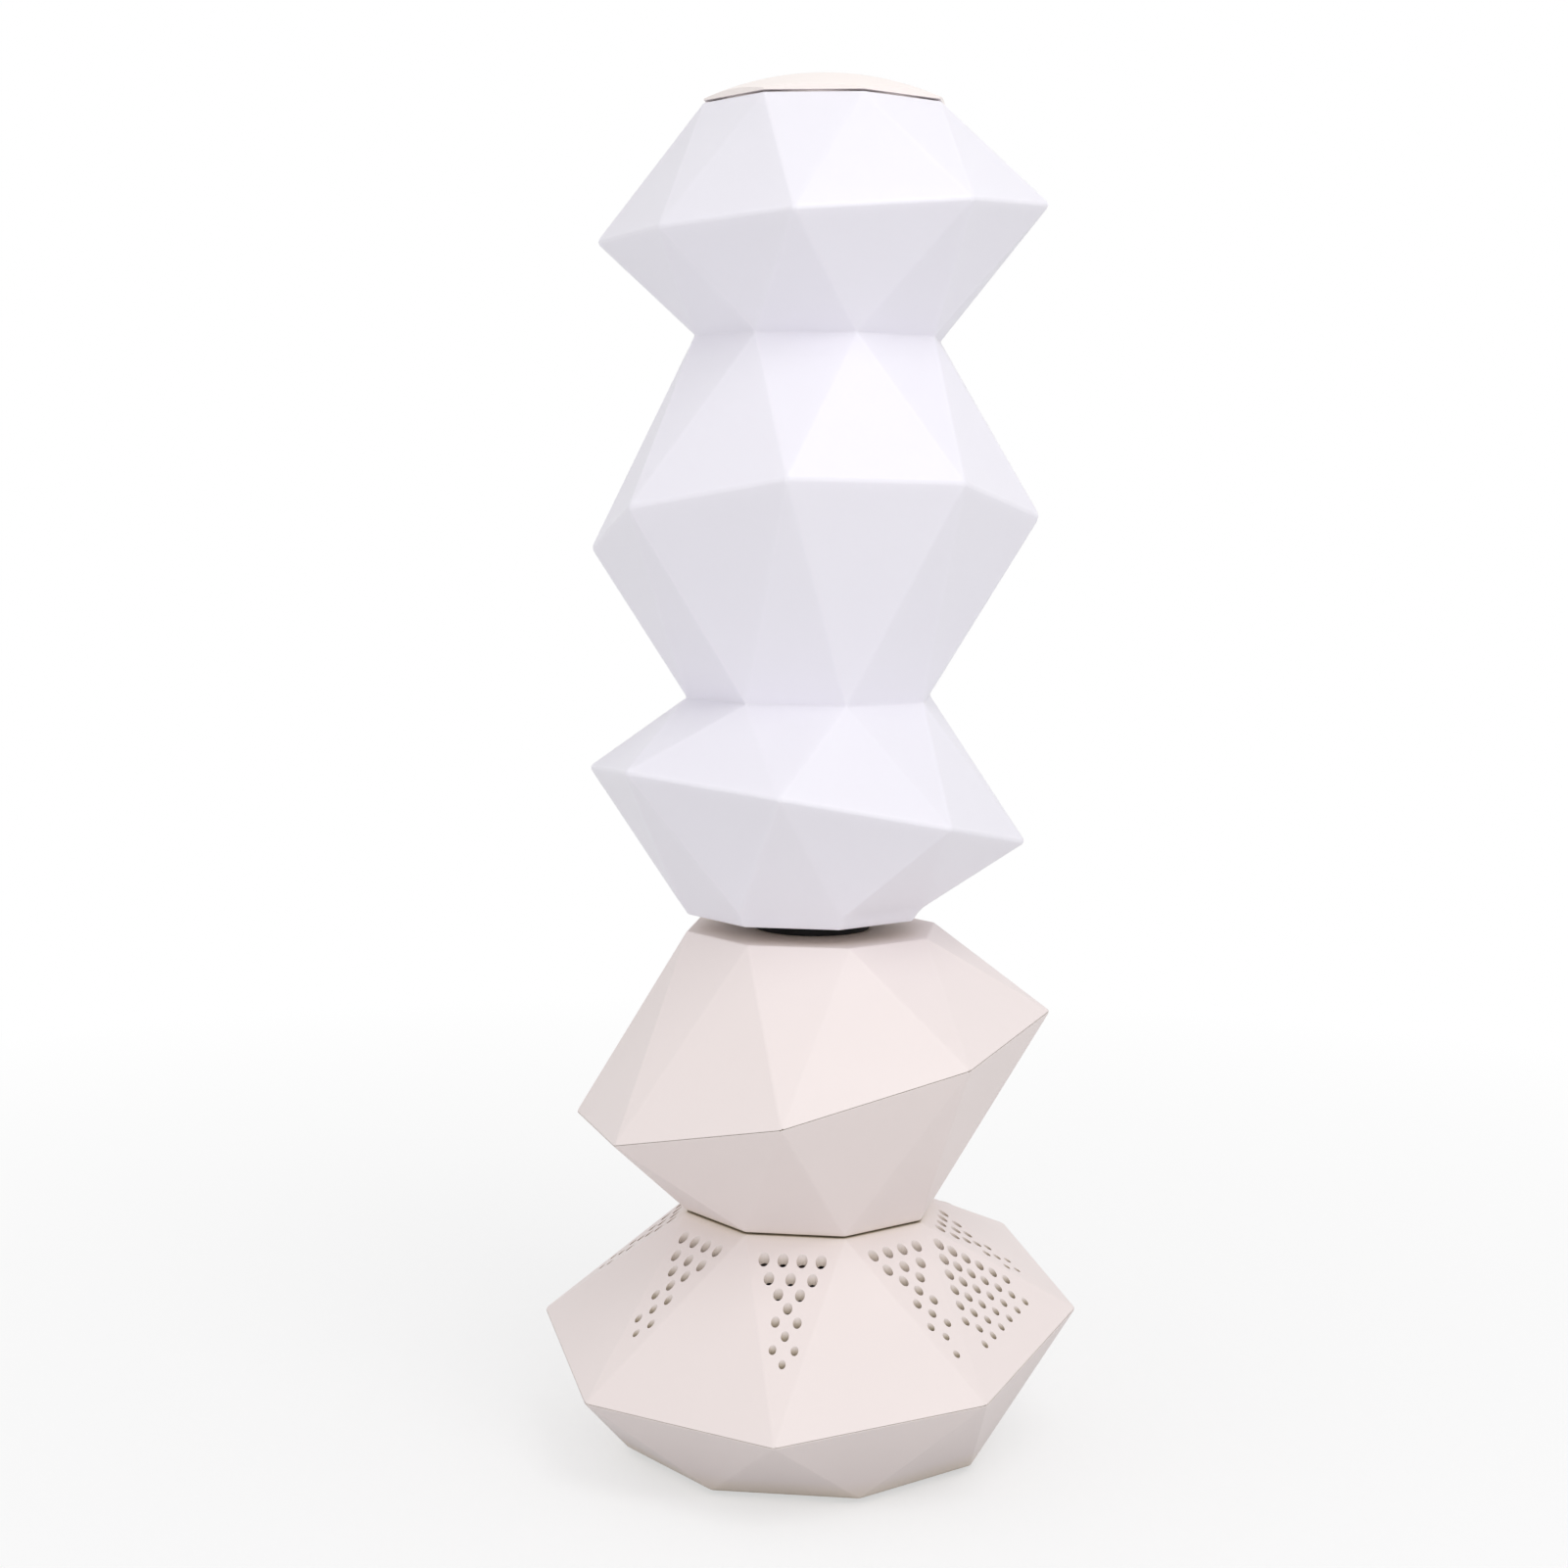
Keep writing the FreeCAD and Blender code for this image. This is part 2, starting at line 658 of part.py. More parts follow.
def make_grille_shell():
    envelope = feature("grille_envelope", faceted([
        ring(size.base_radius, size.foot_lift), base_ring(), seam_ring]))
    walls = cut("grille_walls", feature("grille_outside", faceted([base_ring(), seam_ring])),
                [feature("grille_hollow", faceted([base_ring(size.shell_inset), seam_inner]))])
    shell = cut("grille_lapped", walls, [rebate("grille_rebate", base_ring)])
    posts = []
    tools = [cylinder("deck_wire_hole", "wire_hole_radius", "floor_wall", z="seam_level - floor_wall")]
    for k in range(POSTS):
        spot = around("post_circle", post_angle(k))
        posts.append(cylinder(f"post_{k}", "boss_radius", "base_rise",
                              z="foot_lift + seat_boss_rise", **spot))
        tools.append(cylinder(f"post_hole_{k}", "screw_hole_radius", "screw_bite + boss_spare",
                              z="foot_lift + seat_boss_rise", **spot))
    for k in range(STONE_SCREWS):
        spot = around("stone_screw_circle", stone_screw_angle(k))
        depth = "(floor_wall + screw_bite + boss_spare)"
        posts.append(cylinder(f"deck_boss_{k}", "boss_radius", f"{depth} + boss_spare",
                              z=f"seam_level - {depth} - boss_spare", **spot))
        tools.append(cylinder(f"deck_hole_{k}", "screw_hole_radius", depth,
                              z=f"seam_level - {depth}", **spot))
    for k, (across, up) in enumerate(board_screw_places()):
        boss = cylinder(f"board_boss_{k}", "board_boss_radius", f"{board_top}")
        posts.append(on_control(boss, across, up, board_top))
        pilot = cylinder(f"board_pilot_{k}", "board_screw_radius + fit_clearance / 2",
                         "board_screw_bite + boss_spare")
        tools.append(on_control(pilot, across, up, board_top))
    through = f"{control_wall} + 2 * drill_spare"
    inside = doc.addObject("Part::Common", "grille_posts")
    inside.Base = fuse("post_solids", posts)
    inside.Tool = envelope
    for k, (across, up) in enumerate(button_places()):
        opening = cylinder(f"button_hole_{k}", "button_radius + moving_clearance", through)
        tools.append(on_control(opening, across, up, control_wall + size.drill_spare))
    slot = rounded_slot("socket_slot", "socket_width + 2 * fit_clearance", "socket_depth + 2 * fit_clearance",
                        through)
    tools.append(on_control(slot, 0, size.socket_row, control_wall + size.drill_spare))
    drilled = cut("grille_drilled", fuse("grille_solids", [shell, inside]), [fuse("grille_cuts", tools)])
    node(cut("grille_pierced", drilled, [sound_holes()]), "grille_shell")


def rounded_slot(name, width, depth, height, z="0"):
    """An upright block with round ends, centred on the origin."""
    straight = f"({width} - ({depth}))"
    middle = box(f"{name}_middle", straight, depth, height, x=f"-{straight} / 2", y=f"-({depth}) / 2", z=z)
    ends = [cylinder(f"{name}_end_{side}", f"({depth}) / 2", height, x=f"{sign}{straight} / 2", z=z)
            for side, sign in (("left", "-"), ("right", ""))]
    return fuse(name, [middle] + ends)


# Stone: lower and upper shells
def make_stone_lower():
    shell = cut("stone_lower_walls", feature("stone_lower_outside", faceted([stone_foot_ring, stone_ring()])),
                [feature("stone_lower_hollow", faceted([stone_foot_inner, stone_ring(size.shell_inset)]))])
    plinth = cylinder("stone_plinth", "seam_plinth_radius", "seam_gap + floor_wall / 2", z="seam_level")
    tools = [cylinder("stone_wire_hole", "wire_hole_radius", "seam_gap + floor_wall", z="seam_level")]
    for k in range(STONE_SCREWS):
        tools.append(cylinder(f"stone_hole_{k}", "screw_hole_radius", "seam_gap + floor_wall", z="seam_level",
                              **around("stone_screw_circle", stone_screw_angle(k))))
    solid = fuse("stone_lower_solids", [shell, plinth, lip("stone_lip", stone_ring)])
    node(cut("stone_lower", solid, tools), "stone_lower_shell")


def make_stone_upper():
    walls = cut("stone_upper_walls", feature("stone_upper_outside", faceted([stone_ring(), deck_ring])),
                [feature("stone_upper_hollow", faceted([stone_ring(size.shell_inset), deck_inner]))])
    shell = cut("stone_upper_lapped", walls, [rebate("stone_rebate", stone_ring)])
    depth = "(floor_wall + screw_bite + boss_spare)"
    solids = [shell]
    tools = [cylinder("lamp_wire_hole", "collar_bore_radius", "floor_wall", z="deck_level - floor_wall")]
    for k in range(LAMP_SCREWS):
        spot = around("lamp_screw_circle", lamp_screw_angle(k))
        solids.append(cylinder(f"lamp_boss_{k}", "boss_radius", f"{depth} + boss_spare - floor_wall / 2",
                               z=f"deck_level - {depth} - boss_spare", **spot))
        tools.append(cylinder(f"lamp_boss_hole_{k}", "screw_hole_radius", depth,
                              z=f"deck_level - {depth}", **spot))
    node(cut("stone_upper", fuse("stone_upper_solids", solids), [fuse("stone_upper_cuts", tools)]),
         "stone_upper_shell")


def make_stone_screws():
    screws = [screw(f"stone_screw_{k}", "seam_gap + 2 * floor_wall + screw_bite", flip=True,
                    z="stone_floor_level + screw_head_height",
                    **around("stone_screw_circle", stone_screw_angle(k))) for k in range(STONE_SCREWS)]
    node(group("stone_screw_set", screws), "stone_screws")


def make_battery():
    width = "(cell_pitch + 2 * cell_radius + 2 * cradle_wall)"
    depth = "(2 * cell_radius + 2 * cradle_wall)"
    cradle = box("cradle_block", width, depth, "cradle_depth", x=f"-{width} / 2",
                 y=f"cell_set_back - {depth} / 2", z="stone_floor_level")
    wells = []
    for k in range(CELLS):
        spot = {"x": f"cell_pitch * ({k} - {(CELLS - 1) / 2})", "y": "cell_set_back"}
        wells.append(cylinder(f"cell_well_{k}", "cell_radius + fit_clearance", "cradle_depth",
                              z="stone_floor_level + cradle_floor", **spot))
        cell = turned(f"cell_{k}", [
            ("0", "0"), ("cell_radius", "0"), ("cell_radius", "cell_length"),
            ("cell_nub_radius", "cell_length"), ("cell_nub_radius", "cell_length + cell_nub"),
            ("0", "cell_length + cell_nub")],
            z="stone_floor_level + cradle_floor", **spot)
        node(cell, f"battery_cell_{k + 1}")
    node(cut("cradle", cradle, wells), "battery_cradle")


# Speaker box and loudspeaker
def make_speaker_box():
    solids = [cylinder("box_outside", "box_radius", "box_height", z="bowl_floor")]
    tools = [cylinder("box_hollow", "box_radius - box_wall", "box_height", z="bowl_floor + box_wall")]
    ring_parts = [tube("ring_round", "ring_inner_radius", "box_radius", "0", "ring_height",
                       z="ring_top - ring_height")]
    ring_holes = []
    clamp = "gasket_height + flange_height"
    for k in range(POSTS):
        spot = around("ear_circle", pillar_angle(k))
        solids.append(cylinder(f"box_ear_{k}", "ear_radius", "ear_height", z="box_top - ear_height", **spot))
        tools.append(cylinder(f"box_ear_hole_{k}", "screw_hole_radius", "ear_height",
                              z="box_top - ear_height", **spot))
        ear = cylinder(f"ring_ear_{k}", "ear_radius", f"{clamp} + ring_height", z="box_top", **spot)
        seat = cylinder(f"ring_ear_seat_{k}", "box_radius + fit_clearance", clamp, z="box_top")
        ring_parts.append(cut(f"ring_ear_cut_{k}", ear, [seat]))
        ring_holes.append(cylinder(f"ring_hole_{k}", "screw_hole_radius", f"{clamp} + ring_height",
                                   z="box_top", **spot))
    node(cut("box_cup", fuse("box_solids", solids), [fuse("box_cuts", tools)]), "speaker_box")
    node(cut("clamp_ring", fuse("ring_solids", ring_parts), ring_holes), "driver_clamp_ring")
    screws = [screw(f"speaker_screw_{k}", f"ring_height + {clamp} + ear_height + screw_bite", flip=True,
                    z="ring_top + screw_head_height", **around("ear_circle", pillar_angle(k)))
              for k in range(POSTS)]
    node(group("speaker_screw_set", screws), "speaker_screws")
    gasket = tube("gasket", "box_radius - box_wall", "box_radius", "0", "gasket_height", z="box_top")
    node(gasket, "driver_gasket")


def make_driver():
    """Every profile stands on the underside of the magnet's yoke."""
    stack = "(yoke_height + magnet_height + top_plate_height)"
    foot = f"{stack} + basket_wall"
    flange = f"{stack} + basket_depth"
    where = {"z": f"driver_level - ({flange})"}
    throat = "(coil_radius + coil_gap)"
    basket = turned("basket", [
        (throat, stack), ("basket_foot_radius", stack), ("flange_inner_radius + basket_wall", flange),
        ("box_radius", flange), ("box_radius", f"{flange} + flange_height"),
        ("flange_inner_radius", f"{flange} + flange_height"), ("basket_foot_radius - basket_wall", foot),
        (throat, foot)], **where)
    spans = [("2 * box_radius", "basket_window"), ("basket_window", "2 * box_radius")]
    windows = [box(f"basket_window_{k}", length, width, "basket_depth - 2 * window_margin",
                   x=f"-({length}) / 2", y=f"-({width}) / 2", z="driver_level - basket_depth + window_margin")
               for k, (length, width) in enumerate(spans)]
    node(cut("basket_open", basket, [fuse("basket_windows", windows)]), "driver_basket")
    rim = f"({flange} + flange_height)"
    crown = f"{rim} + surround_rise"
    middle = "(surround_inner_radius + flange_inner_radius) / 2"
    node(turned("surround", [
        ("surround_inner_radius", rim), ("surround_inner_radius + surround_wall", rim),
        (middle, f"{crown} - surround_wall"), ("flange_inner_radius", f"{rim} + surround_lift"),
        ("flange_inner_radius + basket_wall", rim), ("ring_inner_radius - fit_clearance", rim),
        ("ring_inner_radius - fit_clearance", f"{rim} + surround_wall"),
        ("flange_inner_radius", f"{rim} + surround_wall + surround_lift"),
        (f"{middle} + surround_wall", crown), (f"{middle} - surround_wall", crown),
        ("surround_inner_radius", f"{rim} + surround_wall")], **where), "driver_surround")
    cone_low = f"({rim} - cone_depth)"
    node(turned("cone", [
        ("coil_radius", cone_low), ("coil_radius + cone_wall", cone_low),
        ("surround_inner_radius", f"{rim} - cone_wall / 2"),
        ("surround_inner_radius", f"{rim} + cone_wall / 2")], **where), "driver_cone")
    coil_low = f"({cone_low} - coil_length)"
    node(tube("coil", "coil_radius - coil_wall", "coil_radius", coil_low, cone_low, **where), "voice_coil")
    dome = turned("dome", [
        ("0", f"{cone_low} + cone_wall"), ("coil_radius - coil_wall", f"{cone_low} + fit_clearance"),
        ("coil_radius - coil_wall", f"{cone_low} + cone_wall"),
        ("coil_radius / 2", f"{cone_low} + dome_shoulder"), ("0", f"{cone_low} + dome_rise")], **where)
    node(dome, "driver_dust_cap")
    spider_low = f"({rim} - spider_drop - spider_wall)"
    node(tube("spider", "coil_radius + fit_clearance / 3", "basket_foot_radius - basket_wall", spider_low,
              f"{spider_low} + spider_wall", **where), "driver_spider")
    plate_low = "(yoke_height + magnet_height)"
    node(tube("top_plate", throat, "basket_foot_radius - basket_wall", plate_low, stack, **where),
         "driver_top_plate")
    node(tube("magnet", "magnet_bore_radius", "magnet_radius", "yoke_height", plate_low, **where),
         "driver_magnet")
    pole = "coil_radius - coil_wall - coil_gap"
    disc = "magnet_radius - box_wall"
    node(turned("yoke", [("0", "0"), (disc, "0"), (disc, "yoke_height"), (pole, "yoke_height"),
                         (pole, stack), ("0", stack)], **where), "driver_yoke")


# Lamp head: shade, cap, collar, holder and light board
def make_shade():
    def foot(radius, height):
        return ring(radius, height, waist=True, shift=size.shade_foot_shift)

    def top(height):
        return ring(size.shade_top_radius, height, waist=True, shift=size.shade_top_shift)

    def lobes(inset):
        return [
            ring(size.lobe_low_radius - inset, level.shade_level + size.lobe_low_rise,
                 tilt_x=size.lobe_low_tilt_x, tilt_y=size.lobe_low_tilt_y, shift=size.lobe_low_shift),
            ring(size.neck_low_radius - inset, level.shade_level + size.neck_low_rise, waist=True,
                 shift=size.neck_low_shift),
            ring(size.lobe_mid_radius - inset, level.shade_level + size.lobe_mid_rise,
                 tilt_x=size.lobe_mid_tilt_x, tilt_y=size.lobe_mid_tilt_y, shift=size.lobe_mid_shift),
            ring(size.neck_high_radius - inset, level.shade_level + size.neck_high_rise, waist=True),
            ring(size.lobe_top_radius - inset, level.shade_level + size.lobe_top_rise,
                 tilt_x=size.lobe_top_tilt_x, tilt_y=size.lobe_top_tilt_y, pull=size.lobe_top_pull)]

    outer_foot = [foot(size.shade_foot_radius, level.shade_level),
                  foot(size.shade_bevel_radius, level.shade_level + size.shade_bevel_rise)]
    inner_foot = foot(size.shade_foot_radius - size.shade_inset + size.shade_floor / 2,
                      level.shade_floor_level)
    outside = feature("shade_outside", faceted(outer_foot + lobes(0.0) + [top(level.shade_top_level)]))
    inside = feature("shade_inside", faceted([inner_foot] + lobes(size.shade_inset)
                                             + [top(level.shade_top_level - size.shade_flange)]))
    mouth = cylinder("shade_mouth", "shade_mouth_radius", "shade_flange", x="shade_top_shift",
                     z="shade_top_level - shade_flange")
    bore = cylinder("shade_bore", "spigot_radius + fit_clearance", "shade_floor", z="shade_level")
    node(cut("shade_open", cut("shade_walls", outside, [inside]), [mouth, bore]), "shade")


def make_cap():
    rim = ring(size.shade_top_radius, level.cap_level, waist=True, shift=size.shade_top_shift)
    prism = feature("cap_outline", polygon(rim.corners).extrude(Vector(0, 0, size.cap_rise)))
    middle = {"x": "shade_top_shift", "z": "cap_level + cap_rise - cap_dome_radius"}
    dome = common("cap_dome", [prism, sphere("cap_outside", "cap_dome_radius", **middle)])
    plinth = cylinder("cap_plinth", "cap_plinth_radius", "cap_gap + cap_wall / 2",
                      x="shade_top_shift", z="shade_top_level")
    plug = "shade_mouth_radius - fit_clearance"
    deep = {"x": "shade_top_shift", "z": "shade_top_level - cap_skirt_depth"}
    skirt = cylinder("cap_skirt", plug, "cap_skirt_depth + cap_gap", **deep)
    bore = cylinder("cap_bore", f"{plug} - cap_wall", "cap_skirt_depth + cap_gap + cap_rise", **deep)
    hollow = common("cap_hollow", [bore, sphere("cap_inside", "cap_dome_radius - cap_wall", **middle)])
    node(cut("cap", fuse("cap_solids", [dome, plinth, skirt]), [hollow]), "top_cap")


def make_lamp_head():
    collar = turned("collar", [
        ("collar_bore_radius", "0"), ("collar_radius", "0"), ("collar_radius", "collar_height"),
        ("spigot_radius", "collar_height"), ("spigot_radius", "collar_height + shade_floor - fit_clearance"),
        ("collar_bore_radius", "collar_height + shade_floor - fit_clearance")], z="deck_level")
    seat = "(holder_height - holder_rim)"
    holder = turned("holder", [
        ("lead_radius + fit_clearance", "0"), ("holder_radius", "0"), ("holder_radius", "holder_height"),
        ("holder_radius - holder_rim_wall", "holder_height"), ("holder_radius - holder_rim_wall", seat),
        ("lead_radius + fit_clearance", seat)], z="shade_floor_level")
    collar_holes = []
    holder_holes = []
    screws = []
    reach = "holder_seat + shade_floor + collar_height + floor_wall + screw_bite"
    for k in range(LAMP_SCREWS):
        spot = around("lamp_screw_circle", lamp_screw_angle(k))
        collar_holes.append(cylinder(f"collar_hole_{k}", "screw_hole_radius", "collar_height + shade_floor",
                                     z="deck_level", **spot))
        well = cylinder(f"holder_well_{k}", "head_hole_radius", "holder_height",
                        z="shade_floor_level + holder_seat", **spot)
        through = cylinder(f"holder_hole_{k}", "screw_hole_radius", "holder_height",
                           z="shade_floor_level", **spot)
        holder_holes.append(fuse(f"holder_cut_{k}", [well, through]))
        screws.append(screw(f"lamp_screw_{k}", reach, flip=True,
                            z="shade_floor_level + holder_seat + screw_head_height", **spot))
    node(cut("collar_drilled", collar, collar_holes), "lamp_collar")
    node(cut("holder_drilled", holder, holder_holes), "light_holder")
    node(group("lamp_screw_set", screws), "lamp_screws")
    board_level = f"shade_floor_level + {seat}"
    board = cylinder("light_disc", "holder_radius - holder_rim_wall - fit_clearance", "light_board_height",
                     z=board_level)
    node(board, "light_board")
    lights = []
    for k in range(LIGHTS):
        chip = box(f"light_{k}", "light_side", "light_side", "light_height",
                   x="light_circle - light_side / 2", y="-light_side / 2",
                   z=f"{board_level} + light_board_height")
        spun = group(f"light_spun_{k}", [chip])
        spun.Placement.Rotation = FreeCAD.Rotation(Vector(0, 0, 1), 360 / LIGHTS * k)
        lights.append(spun)
    node(group("lights", lights), "light_chips")


# Control board, switches, socket and buttons on the rear facet
def make_control_board():
    body = doc.addObject("PartDesign::Body", "board")
    outline = sketch(body, "board_outline", "XY_Plane", [
        ("-board_low_width / 2", "board_low"), ("board_low_width / 2", "board_low"),
        ("board_high_width / 2", "board_high"), ("-board_high_width / 2", "board_high")])
    pad = body.newObject("PartDesign::Pad", "board_pad")
    pad.Profile = outline
    bind(pad, Length="board_height")
    on_control(body, 0, 0, board_bottom)
    holes = []
    screws = []
    for k, (across, up) in enumerate(board_screw_places()):
        hole = cylinder(f"board_hole_{k}", "board_screw_radius + fit_clearance", "board_height")
        holes.append(on_control(hole, across, up, board_bottom))
        fixing = screw(f"board_screw_{k}", "board_height + board_screw_bite", "board_screw_radius",
                       "board_screw_head_radius", "board_screw_head")
        screws.append(on_control(fixing, across, up, board_bottom + size.board_screw_head))
    node(cut("board_drilled", body, holes), "control_board")
    node(group("board_screw_set", screws), "board_screws")
    switches = []
    for k, (across, up) in enumerate(button_places()):
        case = box(f"switch_case_{k}", "switch_side", "switch_side", "switch_height - switch_plunger",
                   x="-switch_side / 2", y="-switch_side / 2")
        plunger = cylinder(f"switch_plunger_{k}", "switch_plunger_radius", "switch_height")
        switches.append(on_control(fuse(f"switch_{k}", [case, plunger]), across, up, board_top))
    node(group("switch_set", switches), "tact_switches")
    radio = box("radio", "radio_width", "radio_length", "radio_height",
                x="-radio_width / 2", y="-radio_length / 2")
    node(on_control(group("radio_place", [radio]), -size.radio_width, size.board_low + size.radio_length / 2,
                    board_bottom, flip=True), "bluetooth_module")
    chip = box("chip", "amplifier_side", "amplifier_side", "amplifier_height",
               x="-amplifier_side / 2", y="-amplifier_side / 2")
    node(on_control(group("chip_place", [chip]), 0, size.button_row + size.amplifier_side / 2,
                    board_bottom, flip=True), "amplifier_chip")
    cans = [on_control(cylinder(f"can_{k}", "capacitor_radius", "capacitor_height"),
                       size.button_pitch + size.capacitor_pitch * k, size.button_row, board_bottom, flip=True)
            for k in range(CAPACITORS)]
    node(group("can_set", cans), "capacitors")


def make_socket():
    """A charging socket standing on the board, its mouth just below the facet."""
    height = f"{board_top} - socket_recess"
    shell = rounded_slot("socket_shell", "socket_width", "socket_depth", height)
    hollow = rounded_slot("socket_hollow", "socket_width - 2 * socket_wall", "socket_depth - 2 * socket_wall",
                          height, z="socket_wall")
    tongue = box("socket_tongue", "socket_tongue_width", "socket_tongue", f"{height} - socket_wall",
                 x="-socket_tongue_width / 2", y="-socket_tongue / 2")
    solid = fuse("socket_solid", [cut("socket_can", shell, [hollow]), tongue])
    node(on_control(solid, 0, size.socket_row, board_top), "charging_socket")


def make_buttons():
    for label, (across, up) in zip(BUTTONS, button_places()):
        crown = f"{flange_bottom} + button_proud"
        body = turned(f"{label}_body", [
            ("0", "0"), ("button_flange_radius", "0"), ("button_flange_radius", "button_flange"),
            ("button_radius", "button_flange"), ("button_radius", f"{crown} - button_chamfer"),
            ("button_radius - button_chamfer", crown), ("0", crown)])
        node(on_control(body, across, up, flange_bottom), label)


# Leads inside the stones
def lead(points, bend, radius):
    """A round lead along straight runs joined by one tangent arc."""
    start, corner, end = points
    before = (start - corner).normalize()
    after = (end - corner).normalize()
    half = before.getAngle(after) / 2
    leave = corner + before * (bend / math.tan(half))
    join = corner + after * (bend / math.tan(half))
    centre = corner + (before + after).normalize() * (bend / math.sin(half))
    through = centre + (corner - centre).normalize() * bend
    path = Part.Wire([Part.LineSegment(start, leave).toShape(), Part.Arc(leave, through, join).toShape(),
                      Part.LineSegment(join, end).toShape()])
    section = Part.Wire(Part.makeCircle(radius, start, corner - start))
    return path.makePipeShell([section], True, False)


def board_spot(across, up):
    """A point one lead radius below the control board."""
    return control.multVec(Vector(across, up, -board_bottom - size.lead_radius - size.fit_clearance))


def make_leads():
    along = control.Rotation.multVec(Vector(1, 0, 0))
    outward = Vector(along.y, -along.x, 0)
    goal = board_spot(0, size.board_high - size.lead_radius)
    reach = outward * goal.dot(outward)
    tops = {"lamp_lead": level.shade_floor_level + size.holder_height - size.holder_rim,
            "battery_lead": level.stone_floor_level - size.fit_clearance}
    for k, (label, top) in enumerate(tops.items()):
        side = along * (size.lead_spacing * k)
        points = [side + Vector(0, 0, top), side + Vector(0, 0, goal.z), side + reach + Vector(0, 0, goal.z)]
        node(feature(f"{label}_tube", lead(points, size.lead_bend, size.lead_radius)), label)
    height = level.bowl_floor + size.speaker_lead_rise
    far = board_spot(0, size.socket_row - size.socket_depth)
    start = outward * (size.box_radius + size.fit_clearance) + Vector(0, 0, height)
    corner = outward * far.dot(outward) + Vector(0, 0, height)
    end = Vector(corner.x, corner.y, far.z)
    node(feature("speaker_lead_tube", lead([start, corner, end], size.speaker_lead_bend, size.lead_radius)),
         "speaker_lead")


def check_and_write():
    """Stops on a failed object or a bad shape, then writes one file to each sub-part."""
    doc.recompute()
    for thing in doc.Objects:
        if "Invalid" in thing.State or "Error" in thing.State:
            raise RuntimeError(f"{thing.Label} failed: {thing.State}")
    for thing in nodes:
        if thing.Shape.isNull() or not thing.Shape.isValid() or not thing.Shape.Solids:
            raise RuntimeError(f"{thing.Label} has no valid solid")
    os.makedirs("parts", exist_ok=True)
    for thing in nodes:
        thing.Shape.exportStep(os.path.join("parts", f"{thing.Label}.step"))


make_base_bowl()
make_feet()
make_base_screws()
make_grille_shell()
make_stone_lower()
make_stone_upper()
make_stone_screws()
make_battery()
make_speaker_box()
make_driver()
make_shade()
make_cap()
make_lamp_head()
make_control_board()
make_socket()
make_buttons()
make_leads()
check_and_write()
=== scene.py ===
"""Looks of the speaker lamp: softened shells, round sound holes, materials, studio and camera."""
import json
import math

import bmesh
import bpy
from mathutils import Matrix, Vector

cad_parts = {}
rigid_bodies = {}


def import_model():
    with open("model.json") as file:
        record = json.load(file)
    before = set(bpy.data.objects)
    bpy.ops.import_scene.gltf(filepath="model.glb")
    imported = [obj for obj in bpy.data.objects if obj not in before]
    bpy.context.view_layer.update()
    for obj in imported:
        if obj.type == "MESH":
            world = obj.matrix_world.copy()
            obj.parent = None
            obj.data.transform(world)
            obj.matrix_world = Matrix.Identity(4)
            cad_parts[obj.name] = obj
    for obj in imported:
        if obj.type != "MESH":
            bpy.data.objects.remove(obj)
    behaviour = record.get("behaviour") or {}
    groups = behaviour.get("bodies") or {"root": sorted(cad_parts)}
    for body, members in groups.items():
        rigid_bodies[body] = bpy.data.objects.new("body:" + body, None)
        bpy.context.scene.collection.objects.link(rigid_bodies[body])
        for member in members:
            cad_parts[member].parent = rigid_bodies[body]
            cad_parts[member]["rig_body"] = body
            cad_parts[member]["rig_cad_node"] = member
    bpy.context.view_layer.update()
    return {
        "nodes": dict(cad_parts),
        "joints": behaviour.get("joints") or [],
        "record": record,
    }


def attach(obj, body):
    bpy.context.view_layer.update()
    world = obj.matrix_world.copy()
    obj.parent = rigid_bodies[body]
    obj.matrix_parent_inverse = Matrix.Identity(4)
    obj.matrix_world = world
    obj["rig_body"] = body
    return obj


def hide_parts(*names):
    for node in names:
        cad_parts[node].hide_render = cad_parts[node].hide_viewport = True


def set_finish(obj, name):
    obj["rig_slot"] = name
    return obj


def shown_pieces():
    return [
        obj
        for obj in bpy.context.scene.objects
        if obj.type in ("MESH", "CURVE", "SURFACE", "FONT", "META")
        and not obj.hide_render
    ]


MM = 0.001
SIDES = 8

# Reading the solids: how close counts as the same place, and which directions count as alike
WELD = 0.002 * MM
FLAT_TURN = math.radians(0.4)
SLIVER = 0.004 * MM
RING_BAND = 1.0 * MM
CROWN_BAND = 0.01 * MM
LEVEL_WITHIN = 0.2 * MM
FACET_AREA = 60 * MM * MM
FACET_LEAN = 0.1
WALL_LEAN = 0.02
GRILLE_FACETS = (0.2, 0.995)
CONTROL_FACET = (0.999, 1.001)

# Edge softening: how far each round reaches to each side of its edge
SHELL_ROUND = 0.42 * MM
SEAM_ROUND = 0.25 * MM
SEAM_BAND = 1.2 * MM
SHADE_ROUND = 0.45 * MM
SHADE_RING_ROUND = 0.85 * MM
SHADE_RING_TURN = math.radians(45)
SHADE_FOOT_ROUND = 1.5 * MM
SHADE_FOOT_BAND = 6.0 * MM
BEVELS = {
    "top_cap": 0.16 * MM,
    "lamp_collar": 0.4 * MM,
    "rubber_foot_1": 0.5 * MM,
    "rubber_foot_2": 0.5 * MM,
    "rubber_foot_3": 0.5 * MM,
    "rubber_foot_4": 0.5 * MM,
    "power_button": 0.18 * MM,
    "volume_down_button": 0.18 * MM,
    "volume_up_button": 0.18 * MM,
    "light_button": 0.18 * MM,
    "charging_socket": 0.08 * MM,
}
BEVEL_STEPS = 4
BEVEL_TURN = math.radians(20)
CRISP_TURN = math.radians(35)

